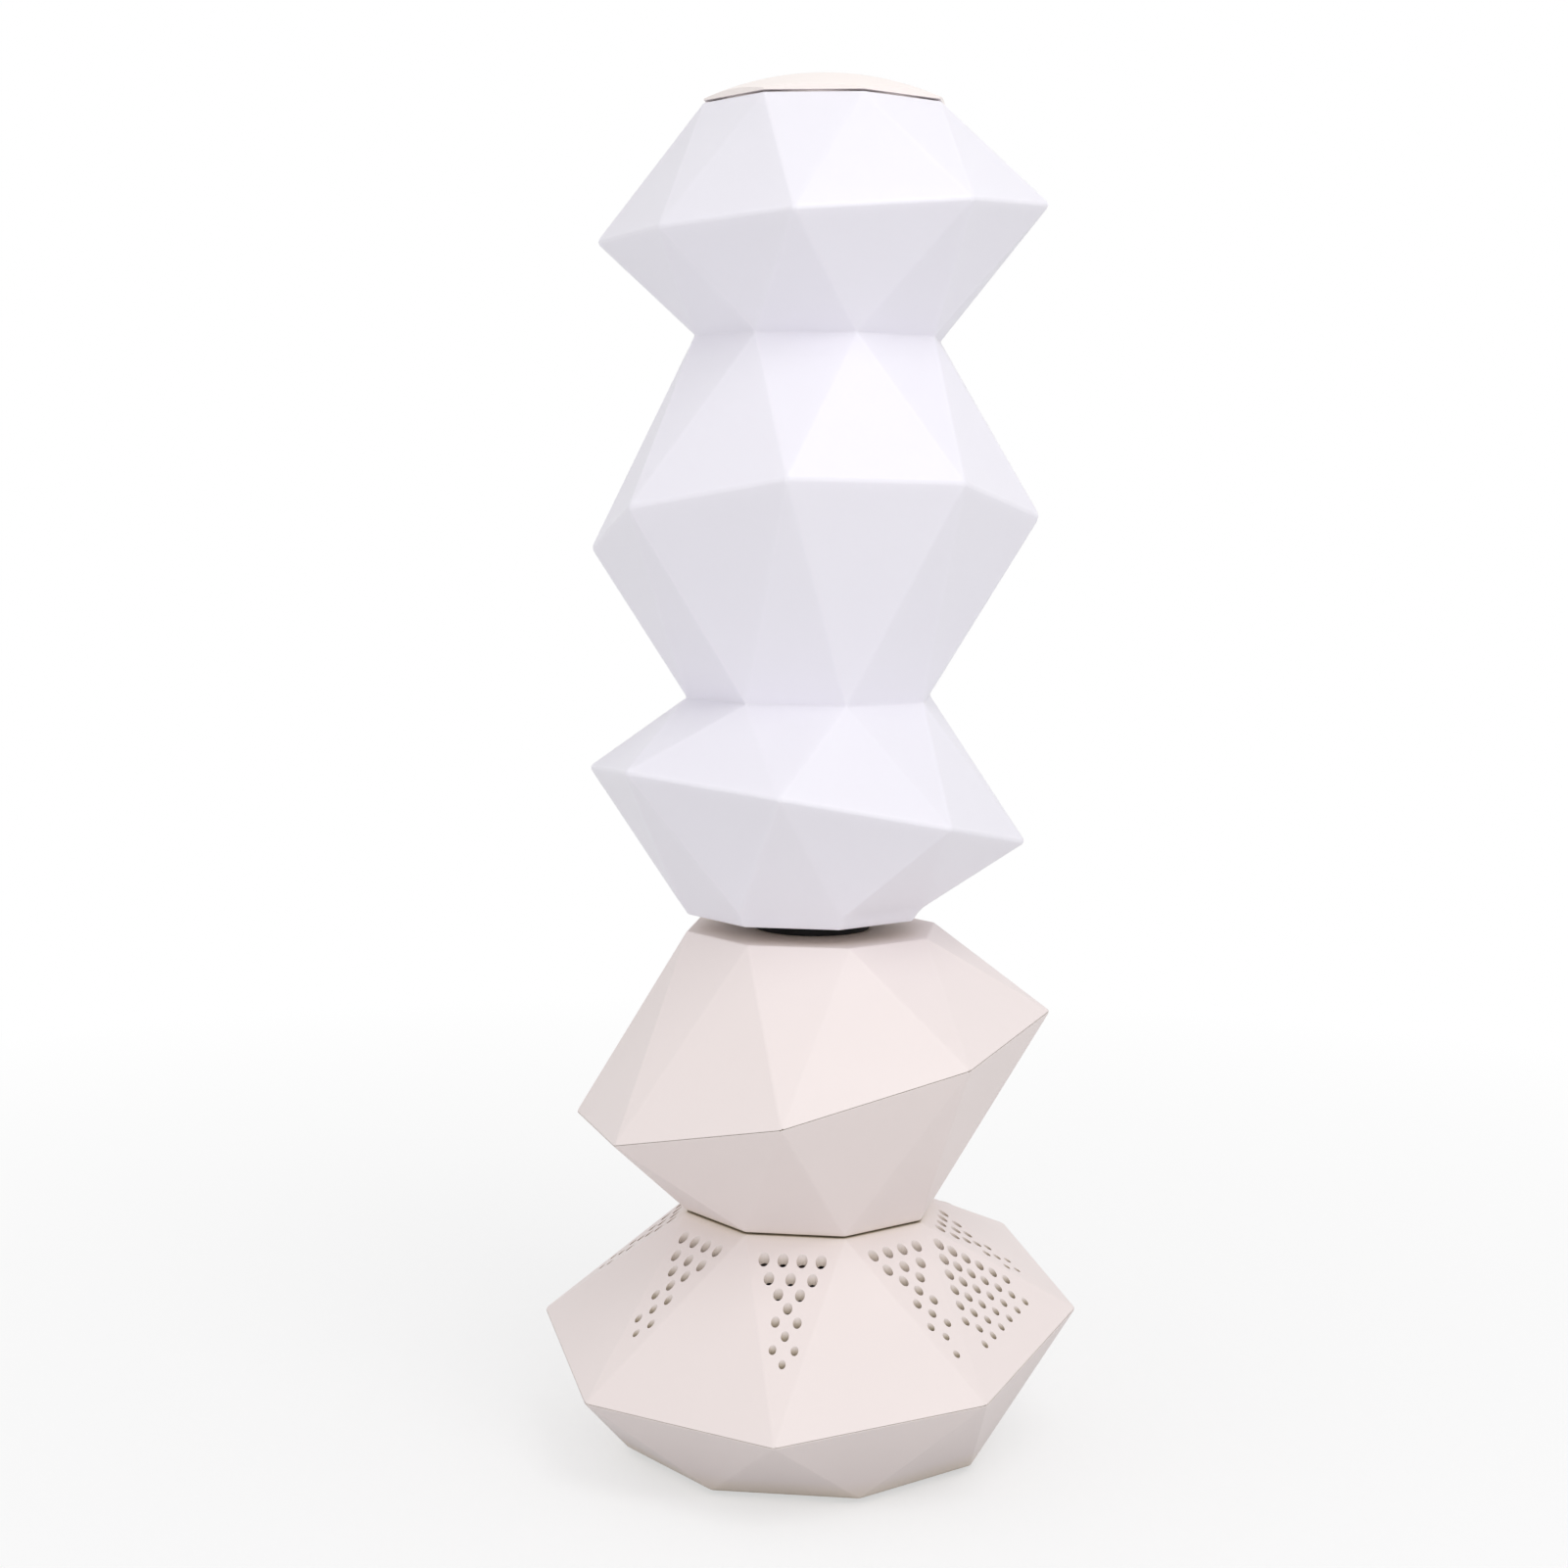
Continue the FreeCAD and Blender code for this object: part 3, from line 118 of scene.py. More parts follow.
# Forms that the cream shells are trimmed to, and their parting grooves
ENVELOPE_SHARE = 0.9996
SKIRT_DROP = 1.0 * MM
SKIRT_SHARE = 0.92
GROOVE_WIDTH = 0.07 * MM
GROOVE_DEPTH = 0.55 * MM
GROOVE_SPARE = 1.0 * MM

# Painted shade on the cream plastic: its tone darkens in holes, seams and crevices and warms under
# overhangs; how far it looks for walls, then tones by how open a place is
# Painted shade in holes, seams and crevices: darker and browner where walls are close
CREVICE_SHADE_REACH = 2.5 * MM
CREVICE_SHADE_TONES = ((0.05, (0.42, 0.39, 0.32)), (0.3, (0.66, 0.64, 0.54)), (0.8, (1, 1, 1)))
# Painted shade under overhangs: a warmer, slightly darker tone where walls lie within this reach
OVERHANG_SHADE_REACH = 9 * MM
OVERHANG_SHADE_TONES = ((0.2, (1.0, 0.975, 0.87)), (0.75, (1, 1, 1)))

# Sound holes
HOLE_SIDES = 28
HOLE_EDGE = 0.09 * MM
HOLE_EDGE_STEPS = 3
HOLE_GROWTH = 1.006
HOLE_BELOW = 7.4 * MM
HOLE_ABOVE = 0.6 * MM

# Mouths of the button holes and the charging slot
MOUTH_EDGE = 0.3 * MM
MOUTH_GROWTH = 0.03 * MM
MOUTH_BELOW = 3.2 * MM

# Symbols on the buttons
SYMBOL_RADIUS = 1.15 * MM
SYMBOL_STROKE = 0.26 * MM
SYMBOL_HEIGHT = 0.05 * MM
SYMBOL_STEPS = 28
SUN_RADIUS = 0.5 * MM
SUN_RAYS = 8
POWER_GAP = math.radians(70)

# Contacts on the charging socket's tongue
CONTACTS = 6
CONTACT_PITCH = 0.9 * MM
CONTACT_WIDTH = 0.4 * MM
CONTACT_LENGTH = 2.4 * MM
CONTACT_HEIGHT = 0.05 * MM
CONTACT_INSET = 0.15 * MM
TONGUE_BAND = 0.7 * MM
TONGUE_BACK = -0.5

# Moulded plastic: clouding in colour and gloss, and a fine grain
CLOUD_SCALE = 45
CLOUD_DETAIL = 4
CLOUD_GLOSS = 0.05
GRAIN_DETAIL = 2
GRAIN_STRENGTH = 0.35
# How many samples find how open a place is, for the painted shade
PAINTED_SHADE_SAMPLES = 6

# Studio levels and distances
WORLD_LEVEL = 0.86
WORLD_ZENITH = 0.74
FLOOR_RADIUS = 6.0
FLOOR_CORNERS = 64
FLOOR_ROUGHNESS = 0.9
# The floor's colour for bounced light: painted shade near the object, rising to a paler tone over these
# distances
FLOOR_BOUNCE_WITH_PAINTED_SHADE = (0.58, 0.85)
FLOOR_PAINTED_SHADE_SPAN = (0.08, 0.28)
FLOOR_SEEN = 0.95
FLOOR_WHITE = 0.55
FLOOR_FADE = (0.12, 0.6)

# Lamps: where each stands, what it looks at, how wide it is and its power
TOP_LAMP = ((0.22, -0.4, 0.76), (0, 0, 0.27), 0.4, 1.2)
FRONT_LAMP = ((0.05, -1.2, 0.25), (0, 0, 0.2), 0.7, 1.6)

# Camera, solved from the rings of the photograph, which is a square of this many pixels
IMAGE_PIXELS = 1601
FOCAL_PIXELS = 2645.4
SENSOR = 36.0
CLIP_START = 0.01
CAMERA_PLACE = Vector((-4.96, -660.13, 248.08)) * MM
CAMERA_PITCH = math.radians(6.499)
CAMERA_YAW = math.radians(-0.230)
CAMERA_ROLL = math.radians(0.648)

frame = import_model()
nodes = frame["nodes"]
slots = {part["node"]: part["material_slot"] for part in frame["record"]["subparts"]}


# Mesh helpers
def clean_copy(name):
    """A node's mesh with its faces joined up and its flat faces made whole."""
    bm = bmesh.new()
    bm.from_mesh(nodes[name].data)
    bmesh.ops.remove_doubles(bm, verts=bm.verts, dist=WELD)
    bmesh.ops.dissolve_limit(bm, angle_limit=FLAT_TURN, verts=bm.verts, edges=bm.edges)
    bm.normal_update()
    return bm


def as_object(bm, name):
    mesh = bpy.data.meshes.new(name)
    bm.to_mesh(mesh)
    bm.free()
    thing = bpy.data.objects.new(name, mesh)
    bpy.context.scene.collection.objects.link(thing)
    return thing


def settled(thing):
    """The object's mesh with its modifiers worked in."""
    graph = bpy.context.evaluated_depsgraph_get()
    return bpy.data.meshes.new_from_object(thing.evaluated_get(graph))


def discard(*things):
    for thing in things:
        bpy.data.objects.remove(thing)


def smooth(thing):
    """Smooth faces with crisp edges past an angle, and flat faces that shade as flat."""
    thing.data.shade_smooth()
    thing.data.set_sharp_from_angle(angle=CRISP_TURN)
    even = thing.modifiers.new("even_normals", "WEIGHTED_NORMAL")
    even.keep_sharp = True


def soften(name, bm, widths):
    """An object whose edges get a round that starts the width given for each, to each side of it."""
    bm.edges.index_update()
    numbered = {edge.index: width for edge, width in widths.items()}
    widest = max(numbered.values())
    weights = bm.edges.layers.float.new("bevel_weight_edge")
    bm.edges.ensure_lookup_table()
    for number, width in numbered.items():
        bm.edges[number][weights] = width / widest
    thing = as_object(bm, name)
    bevel = thing.modifiers.new("soft_edges", "BEVEL")
    bevel.limit_method = "WEIGHT"
    bevel.width = widest
    bevel.segments = BEVEL_STEPS
    bevel.use_clamp_overlap = False
    return thing


def outer_facets(bm):
    """The large faces that look away from the axis."""
    found = set()
    for face in bm.faces:
        middle = face.calc_center_median()
        outward = Vector((middle.x, middle.y, 0)).normalized()
        if face.calc_area() > FACET_AREA and face.normal.dot(outward) > FACET_LEAN:
            found.add(face)
    return found


def farthest(points):
    """The eight points that lie farthest from the axis."""
    return sorted(points, key=lambda point: point.xy.length)[-SIDES:]


def end_ring(name, top):
    """The outer corners of a shell's level end."""
    bm = clean_copy(name)
    points = [vert.co.copy() for vert in bm.verts]
    bm.free()
    heights = [point.z for point in points]
    if top:
        return farthest([point for point in points if point.z > max(heights) - RING_BAND])
    return farthest([point for point in points if point.z < min(heights) + RING_BAND])


def wide_ring(name):
    """The corners of a shell's widest ring, in order round the axis."""
    bm = clean_copy(name)
    ring = farthest([vert.co.copy() for vert in bm.verts])
    bm.free()
    return sorted(ring, key=lambda point: math.atan2(point.y, point.x))


# The cream shells: each is cut to a form with round edges
def rounded_envelope(name, points, seam):
    """A convex form through the points, a hair smaller, with round edges, tighter at the seam."""
    bm = bmesh.new()
    middle = sum(points, Vector()) / len(points)
    for point in points:
        bm.verts.new(middle + (point - middle) * ENVELOPE_SHARE)
    bmesh.ops.convex_hull(bm, input=bm.verts)
    bmesh.ops.dissolve_limit(bm, angle_limit=FLAT_TURN, verts=bm.verts, edges=bm.edges)
    bm.normal_update()
    widths = {}
    for edge in bm.edges:
        at_seam = all(abs(vert.co.z - seam) < SEAM_BAND for vert in edge.verts)
        widths[edge] = SEAM_ROUND if at_seam else SHELL_ROUND
    sharp = soften(f"{name}_sharp", bm, widths)
    bm = bmesh.new()
    bm.from_mesh(settled(sharp))
    bmesh.ops.triangulate(bm, faces=bm.faces)
    discard(sharp)
    return as_object(bm, name)


def parting_groove(name, ring):
    """A thin plate round a parting line, to be cut from both shells."""
    middle = sum(ring, Vector()) / SIDES
    normal = (ring[1] - ring[0]).cross(ring[2] - ring[0]).normalized()
    apothem = (middle - (ring[0] + ring[1]) / 2).length
    inner = 1 - GROOVE_DEPTH / apothem
    outer = 1 + GROOVE_SPARE / apothem
    bm = bmesh.new()
    loops = []
    for share, side in ((outer, 0.5), (outer, -0.5), (inner, -0.5), (inner, 0.5)):
        loops.append([bm.verts.new(middle + (point - middle) * share + normal * (GROOVE_WIDTH * side))
                      for point in ring])
    for loop, following in zip(loops, loops[1:] + loops[:1]):
        for k in range(SIDES):
            after = (k + 1) % SIDES
            bm.faces.new((loop[k], loop[after], following[after], following[k]))
    bmesh.ops.recalc_face_normals(bm, faces=bm.faces)
    return as_object(bm, name)


def trimmed(name, envelope, cutters):
    """A shell cut to the rounded envelope, less the cutters, standing for its node."""
    source = as_object(clean_copy(name), f"{name}_source")
    for tool, kind in [(envelope, "INTERSECT")] + [(cutter, "DIFFERENCE") for cutter in cutters]:
        step = source.modifiers.new(kind.lower(), "BOOLEAN")
        step.operation = kind
        step.solver = "MANIFOLD"
        step.object = tool
    bm = bmesh.new()
    bm.from_mesh(settled(source))
    bmesh.ops.remove_doubles(bm, verts=bm.verts, dist=SLIVER)
    bmesh.ops.dissolve_degenerate(bm, edges=bm.edges, dist=SLIVER)
    discard(source)
    stand_for(as_object(bm, f"{name}_soft"), name)


def stand_for(piece, name):
    """Puts a piece in the place of a node, on the node's body and in its material slot."""
    smooth(piece)
    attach(piece, nodes[name]["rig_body"])
    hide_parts(name)
    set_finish(piece, slots[name])


# Holes in the grille shell, read from their rims on its facets
def rims(along, facets_lean):
    """(facet normal, points) of each rim of a hole that runs along a direction, on facets of that lean."""
    bm = clean_copy("grille_shell")
    least, most = facets_lean
    rim = {}
    for edge in bm.edges:
        facets = [face for face in edge.link_faces if least < face.normal.dot(along) < most]
        walls = [face for face in edge.link_faces if abs(face.normal.dot(along)) < WALL_LEAN]
        if len(facets) == 1 and len(walls) == 1:
            for vert in edge.verts:
                rim.setdefault(vert, (facets[0].normal.copy(), []))[1].append(edge)
    found = []
    seen = set()
    for start in rim:
        if start in seen:
            continue
        seen.add(start)
        loop = [start]
        for vert in loop:
            for edge in rim[vert][1]:
                other = edge.other_vert(vert)
                if other not in seen:
                    seen.add(other)
                    loop.append(other)
        # A pair of points is only the side of a hole that runs another way
        if len(loop) > 2:
            found.append((rim[loop[0]][0], [vert.co.copy() for vert in loop]))
    bm.free()
    return sorted(found, key=lambda one: min(tuple(point) for point in one[1]))


def add_cutter(bm, outline, edge, below):
    """A plug to cut with, rounded out at its mouth. outline gives its ring for a growth and a depth."""
    profile = [(edge, -HOLE_ABOVE)]
    for k in range(HOLE_EDGE_STEPS + 1):
        turn = k / HOLE_EDGE_STEPS * math.pi / 2
        profile.append((edge * (1 - math.sin(turn)), edge * (1 - math.cos(turn))))
    profile.append((0.0, below))
    rings = [[bm.verts.new(point) for point in outline(growth, depth)] for growth, depth in profile]
    bm.faces.new(rings[0])
    bm.faces.new(reversed(rings[-1]))
    for high, low in zip(rings, rings[1:]):
        for k in range(HOLE_SIDES):
            after = (k + 1) % HOLE_SIDES
            bm.faces.new((high[after], high[k], low[k], low[after]))


def circle():
    """The directions of a ring's points, none of them straight up or down."""
    turns = [(k + 0.5) / HOLE_SIDES * math.tau for k in range(HOLE_SIDES)]
    return [(math.cos(turn), math.sin(turn)) for turn in turns]


def sound_hole_cutters():
    """Upright round cutters whose mouths follow the slope of their facets."""
    bm = bmesh.new()
    for normal, points in rims(Vector((0, 0, 1)), GRILLE_FACETS):
        centre = sum(points, Vector()) / len(points)
        radius = max((point - centre).xy.length for point in points) * HOLE_GROWTH

        def outline(growth, depth):
            ring = []
            for x, y in circle():
                step = Vector((x, y, 0)) * (radius + growth)
                ring.append(centre + step + Vector((0, 0, -step.dot(normal) / normal.z - depth)))
            return ring

        add_cutter(bm, outline, HOLE_EDGE, HOLE_BELOW)
    bmesh.ops.triangulate(bm, faces=bm.faces)
    return as_object(bm, "sound_hole_cutters")


# The control facet at the rear: its outward direction, its row of buttons and its slot
BUTTONS = [joint["child"] for joint in frame["joints"]]
OUTWARD = -Vector(frame["joints"][0]["axis"]).normalized()


def crown(name):
    """The middle of a node's outer end on the control facet."""
    bm = clean_copy(name)
    top = max(vert.co.dot(OUTWARD) for vert in bm.verts)
    ends = [vert.co.copy() for vert in bm.verts if vert.co.dot(OUTWARD) > top - CROWN_BAND]
    bm.free()
    return sum(ends, Vector()) / len(ends)


ACROSS = (crown(BUTTONS[-1]) - crown(BUTTONS[0])).normalized()
UPWARD = OUTWARD.cross(ACROSS).normalized()


def mouth_cutters():
    """Cutters that round the mouths of the button holes and the charging slot."""
    bm = bmesh.new()
    for _, points in rims(OUTWARD, CONTROL_FACET):
        across = [point.dot(ACROSS) for point in points]
        upward = [point.dot(UPWARD) for point in points]
        level = sum(point.dot(OUTWARD) for point in points) / len(points)
        centre = (ACROSS * (max(across) + min(across)) / 2 + UPWARD * (max(upward) + min(upward)) / 2
                  + OUTWARD * level)
        radius = (max(upward) - min(upward)) / 2 + MOUTH_GROWTH
        straight = max(0.0, (max(across) - min(across)) / 2 + MOUTH_GROWTH - radius)

        def outline(growth, depth):
            ring = []
            for x, y in circle():
                sideways = x * (radius + growth) + math.copysign(straight, x)
                ring.append(centre + ACROSS * sideways + UPWARD * (y * (radius + growth))
                            - OUTWARD * depth)
            return ring

        add_cutter(bm, outline, MOUTH_EDGE, MOUTH_BELOW)
    bmesh.ops.triangulate(bm, faces=bm.faces)
    return as_object(bm, "mouth_cutters")


def make_cream_shells():
    base_ring = wide_ring("base_bowl")
    base_top = end_ring("grille_shell", True)
    seam = base_top[0].z
    base = rounded_envelope("base_envelope", base_ring + end_ring("base_bowl", False) + base_top, seam)
    base_groove = parting_groove("base_groove", base_ring)
    holes = sound_hole_cutters()
    mouths = mouth_cutters()
    trimmed("base_bowl", base, [base_groove])
    trimmed("grille_shell", base, [base_groove, holes, mouths])
    stone_ring = wide_ring("stone_lower_shell")
    foot = end_ring("stone_lower_shell", False)
    skirt = [Vector((corner.x * SKIRT_SHARE, corner.y * SKIRT_SHARE, corner.z - SKIRT_DROP))
             for corner in foot]
    stone_top = end_ring("stone_upper_shell", True)
    stone = rounded_envelope("stone_envelope", stone_ring + foot + skirt + stone_top, seam)
    stone_groove = parting_groove("stone_groove", stone_ring)
    trimmed("stone_lower_shell", stone, [stone_groove])
    trimmed("stone_upper_shell", stone, [stone_groove])
    discard(base, base_groove, holes, mouths, stone, stone_groove)


def make_shade():
    """The shade with its outer edges made round, more so at its widest rings and above its foot."""
    bm = clean_copy("shade")
    facets = outer_facets(bm)
    foot = min(vert.co.z for vert in bm.verts)
    widths = {}
    for edge in bm.edges:
        outer = sum(face in facets for face in edge.link_faces)
        heights = [vert.co.z - foot for vert in edge.verts]
        level = abs(heights[0] - heights[1]) < LEVEL_WITHIN
        if outer == 2 and level and heights[0] < SHADE_FOOT_BAND:
            widths[edge] = SHADE_FOOT_ROUND
        elif outer == 2 and edge.calc_face_angle_signed(0.0) > SHADE_RING_TURN:
            widths[edge] = SHADE_RING_ROUND
        elif outer:
            widths[edge] = SHADE_ROUND
    stand_for(soften("shade_soft", bm, widths), "shade")


def make_bevelled(name, width):
    """A node with its crisp edges softened."""
    piece = as_object(clean_copy(name), f"{name}_soft")
    bevel = piece.modifiers.new("soft_edges", "BEVEL")
    bevel.limit_method = "ANGLE"
    bevel.angle_limit = BEVEL_TURN
    bevel.width = width
    bevel.segments = BEVEL_STEPS
    stand_for(piece, name)


# Symbols: low strokes on the plane through a button's crown
def stroke(bm, centre, edges, closed=False):
    """A low ridge between two edges, each a list of (across, upward) points, half of it sunk."""
    rows = []
    for pair in zip(*edges):
        spots = [centre + ACROSS * x + UPWARD * y for x, y in pair]
        lift = OUTWARD * SYMBOL_HEIGHT
        corners = (spots[0] - lift, spots[1] - lift, spots[1] + lift, spots[0] + lift)
        rows.append([bm.verts.new(corner) for corner in corners])
    pairs = list(zip(rows, rows[1:]))
    if closed:
        pairs.append((rows[-1], rows[0]))
    else:
        bm.faces.new(rows[0])
        bm.faces.new(rows[-1])
    for row, following in pairs:
        for k in range(4):
            after = (k + 1) % 4
            bm.faces.new((row[k], row[after], following[after], following[k]))


def bar(bm, centre, start, end):
    """A straight stroke between two (across, upward) points."""
    along = Vector(end) - Vector(start)
    side = Vector((-along.y, along.x)).normalized() * SYMBOL_STROKE / 2
    stroke(bm, centre, [[Vector(point) + shift for point in (start, end)] for shift in (-side, side)])


def arc(bm, centre, radius, start, end, closed=False):
    """A curved stroke about the centre."""
    steps = SYMBOL_STEPS if closed else SYMBOL_STEPS + 1
    turns = [start + (end - start) * k / SYMBOL_STEPS for k in range(steps)]
    edges = [[(reach * math.cos(turn), reach * math.sin(turn)) for turn in turns]
             for reach in (radius - SYMBOL_STROKE / 2, radius + SYMBOL_STROKE / 2)]
    stroke(bm, centre, edges, closed)


def power_symbol(bm, centre):
    arc(bm, centre, SYMBOL_RADIUS, math.pi / 2 + POWER_GAP / 2, math.pi * 5 / 2 - POWER_GAP / 2)
    bar(bm, centre, (0, 0), (0, SYMBOL_RADIUS))


def minus_symbol(bm, centre):
    bar(bm, centre, (-SYMBOL_RADIUS, 0), (SYMBOL_RADIUS, 0))


def plus_symbol(bm, centre):
    minus_symbol(bm, centre)
    for side in (-1, 1):
        bar(bm, centre, (0, side * SYMBOL_STROKE / 2), (0, side * SYMBOL_RADIUS))


def sun_symbol(bm, centre):
    arc(bm, centre, SUN_RADIUS, 0, math.tau, closed=True)
    for k in range(SUN_RAYS):
        ray = Vector((math.cos(k / SUN_RAYS * math.tau), math.sin(k / SUN_RAYS * math.tau)))
        bar(bm, centre, ray * (SYMBOL_RADIUS - SYMBOL_STROKE), ray * (SYMBOL_RADIUS + SYMBOL_STROKE))


SYMBOLS = {
    "power_button": power_symbol,
    "volume_down_button": minus_symbol,
    "volume_up_button": plus_symbol,
    "light_button": sun_symbol,
}


def make_symbols():
    for name, draw in SYMBOLS.items():
        bm = bmesh.new()
        draw(bm, crown(name))
        bmesh.ops.recalc_face_normals(bm, faces=bm.faces)
        symbol = as_object(bm, f"{name}_symbol")
        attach(symbol, name)
        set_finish(symbol, "black_plastic")


def tongue_corners():
    """The corners of the charging socket's tongue, from the middle of its mouth."""
    bm = clean_copy("charging_socket")
    mouth = crown("charging_socket")
    corners = [vert.co - mouth for vert in bm.verts]
    bm.free()
    return [corner for corner in corners if abs(corner.dot(UPWARD)) < TONGUE_BAND]


def make_contacts():
    """A row of contacts on each side of the charging socket's tongue."""
    mouth = crown("charging_socket")
    corners = tongue_corners()
    half = max(corner.dot(UPWARD) for corner in corners)
    end = max(corner.dot(OUTWARD) for corner in corners) - CONTACT_INSET
    turn = Matrix((ACROSS, UPWARD, OUTWARD)).transposed().to_4x4()
    size = Matrix.Diagonal((CONTACT_WIDTH, CONTACT_HEIGHT * 2, CONTACT_LENGTH, 1))
    bm = bmesh.new()
    for side in (-1, 1):
        for k in range(CONTACTS):
            across = CONTACT_PITCH * (k - (CONTACTS - 1) / 2)
            middle = mouth + ACROSS * across + UPWARD * (half * side) + OUTWARD * (end - CONTACT_LENGTH / 2)
            bmesh.ops.create_cube(bm, matrix=Matrix.Translation(middle) @ turn @ size)
    contacts = as_object(bm, "socket_contacts")
    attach(contacts, nodes["charging_socket"]["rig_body"])
    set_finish(contacts, "bright_steel")


make_cream_shells()
make_shade()
for name, width in BEVELS.items():
    make_bevelled(name, width)
make_symbols()
make_contacts()


# Materials
def new_material(name):
    material = bpy.data.materials.new(name)
    material.use_nodes = True
    return material, material.node_tree.nodes, material.node_tree.links


def ranged(tree, links, value, source, result):
    """A value moved from one range to another."""
    node = tree.new("ShaderNodeMapRange")
    node.inputs["From Min"].default_value = source[0]
    node.inputs["From Max"].default_value = source[1]
    node.inputs["To Min"].default_value = result[0]
    node.inputs["To Max"].default_value = result[1]
    links.new(value, node.inputs["Value"])
    return node.outputs["Result"]


def with_painted_shade(tree, links, tone, reach, tones):
    """The colour with painted shade: its tone changed where walls are near, by how open the place is."""
    room = tree.new("ShaderNodeAmbientOcclusion")
    room.samples = PAINTED_SHADE_SAMPLES
    room.inputs["Distance"].default_value = reach
    ramp = tree.new("ShaderNodeValToRGB")
    links.new(room.outputs["AO"], ramp.inputs["Fac"])
    stops = ramp.color_ramp.elements
    while len(stops) < len(tones):
        stops.new(0.5)
    for stop, (position, colour) in zip(stops, tones):
        stop.position = position
        stop.color = (*colour, 1)
    painted_shade = tree.new("ShaderNodeMix")
    painted_shade.data_type = "RGBA"
    painted_shade.blend_type = "MULTIPLY"
    painted_shade.inputs["Factor"].default_value = 1.0
    links.new(tone, painted_shade.inputs["A"])
    links.new(ramp.outputs["Color"], painted_shade.inputs["B"])
    return painted_shade.outputs["Result"]


def moulded(name, colour, roughness, grain=0.25 * MM, depth=0.02 * MM, mottle=0.02, painted_shade=(), **sockets):
    """Moulded plastic: a fine grain, slight clouding in colour and gloss, and painted shade that deepens the
    tone by walls.
    """
    material, tree, links = new_material(name)
    shader = tree["Principled BSDF"]
    shader.inputs["Roughness"].default_value = roughness
    for socket, value in sockets.items():
        shader.inputs[socket.replace("_", " ")].default_value = value
    place = tree.new("ShaderNodeTexCoord").outputs["Object"]
    cloud = tree.new("ShaderNodeTexNoise")
    cloud.inputs["Scale"].default_value = CLOUD_SCALE
    cloud.inputs["Detail"].default_value = CLOUD_DETAIL
    links.new(place, cloud.inputs["Vector"])
    mix = tree.new("ShaderNodeMix")
    mix.data_type = "RGBA"
    mix.inputs["A"].default_value = (*colour, 1)
    mix.inputs["B"].default_value = (*(part * (1 - mottle) for part in colour), 1)
    links.new(cloud.outputs["Fac"], mix.inputs["Factor"])
    tone = mix.outputs["Result"]
    # Painted shade: the tone darkened or warmed by nearby walls, once for each reach
    for reach, tones in painted_shade:
        tone = with_painted_shade(tree, links, tone, reach, tones)
    links.new(tone, shader.inputs["Base Color"])
    spread = (roughness - CLOUD_GLOSS, roughness + CLOUD_GLOSS)
    links.new(ranged(tree, links, cloud.outputs["Fac"], (0, 1), spread), shader.inputs["Roughness"])
    pits = tree.new("ShaderNodeTexNoise")
    pits.inputs["Scale"].default_value = 1 / grain
    pits.inputs["Detail"].default_value = GRAIN_DETAIL
    links.new(place, pits.inputs["Vector"])
    bump = tree.new("ShaderNodeBump")
    bump.inputs["Strength"].default_value = GRAIN_STRENGTH
    bump.inputs["Distance"].default_value = depth
    links.new(pits.outputs["Fac"], bump.inputs["Height"])
    links.new(bump.outputs["Normal"], shader.inputs["Normal"])
    return material


MATERIALS = {
    # The cream shell's colour carries painted shade: darker in holes, seams and crevices, warmer under
    # overhangs
    "cream_shell": moulded("cream_shell", (0.87, 0.782, 0.765), 0.5,
                           painted_shade=((CREVICE_SHADE_REACH, CREVICE_SHADE_TONES), (OVERHANG_SHADE_REACH, OVERHANG_SHADE_TONES))),
    "cap_plastic": moulded("cap_plastic", (0.93, 0.86, 0.83), 0.5),
    "shade_plastic": moulded("shade_plastic", (0.885, 0.86, 0.95), 0.45, depth=0.01 * MM, mottle=0.012,
                             Subsurface_Weight=0.45, Subsurface_Scale=3 * MM, Subsurface_Radius=(1, 1, 1)),
    "button_plastic": moulded("button_plastic", (0.80, 0.74, 0.71), 0.4),
    "black_plastic": moulded("black_plastic", (0.008, 0.008, 0.008), 0.55, Specular_IOR_Level=0.2),
    "white_plastic": moulded("white_plastic", (0.85, 0.85, 0.84), 0.45),
    "light_chip": moulded("light_chip", (0.90, 0.80, 0.45), 0.2),
    "circuit_board": moulded("circuit_board", (0.03, 0.16, 0.08), 0.35),
    "component_black": moulded("component_black", (0.03, 0.03, 0.03), 0.4),
    "bright_steel": moulded("bright_steel", (0.62, 0.62, 0.62), 0.3, Metallic=1.0),
    "capacitor_can": moulded("capacitor_can", (0.55, 0.56, 0.58), 0.35, Metallic=1.0),
    "battery_wrap": moulded("battery_wrap", (0.10, 0.22, 0.45), 0.3),
    "rubber": moulded("rubber", (0.05, 0.05, 0.05), 0.8),
    "speaker_frame": moulded("speaker_frame", (0.06, 0.06, 0.06), 0.5),
    "speaker_cone": moulded("speaker_cone", (0.05, 0.05, 0.05), 0.85),
    "copper_coil": moulded("copper_coil", (0.60, 0.30, 0.16), 0.35, Metallic=1.0),
    "speaker_iron": moulded("speaker_iron", (0.50, 0.50, 0.50), 0.4, Metallic=1.0),
    "ferrite": moulded("ferrite", (0.07, 0.07, 0.07), 0.7),
    "lead_jacket": moulded("lead_jacket", (0.45, 0.05, 0.05), 0.5),
}


def dress():
    """Every node and piece gets the material of its slot."""
    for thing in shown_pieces():
        slot = thing.get("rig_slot") or slots[thing["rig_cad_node"]]
        thing.data.materials.clear()
        thing.data.materials.append(MATERIALS[slot])


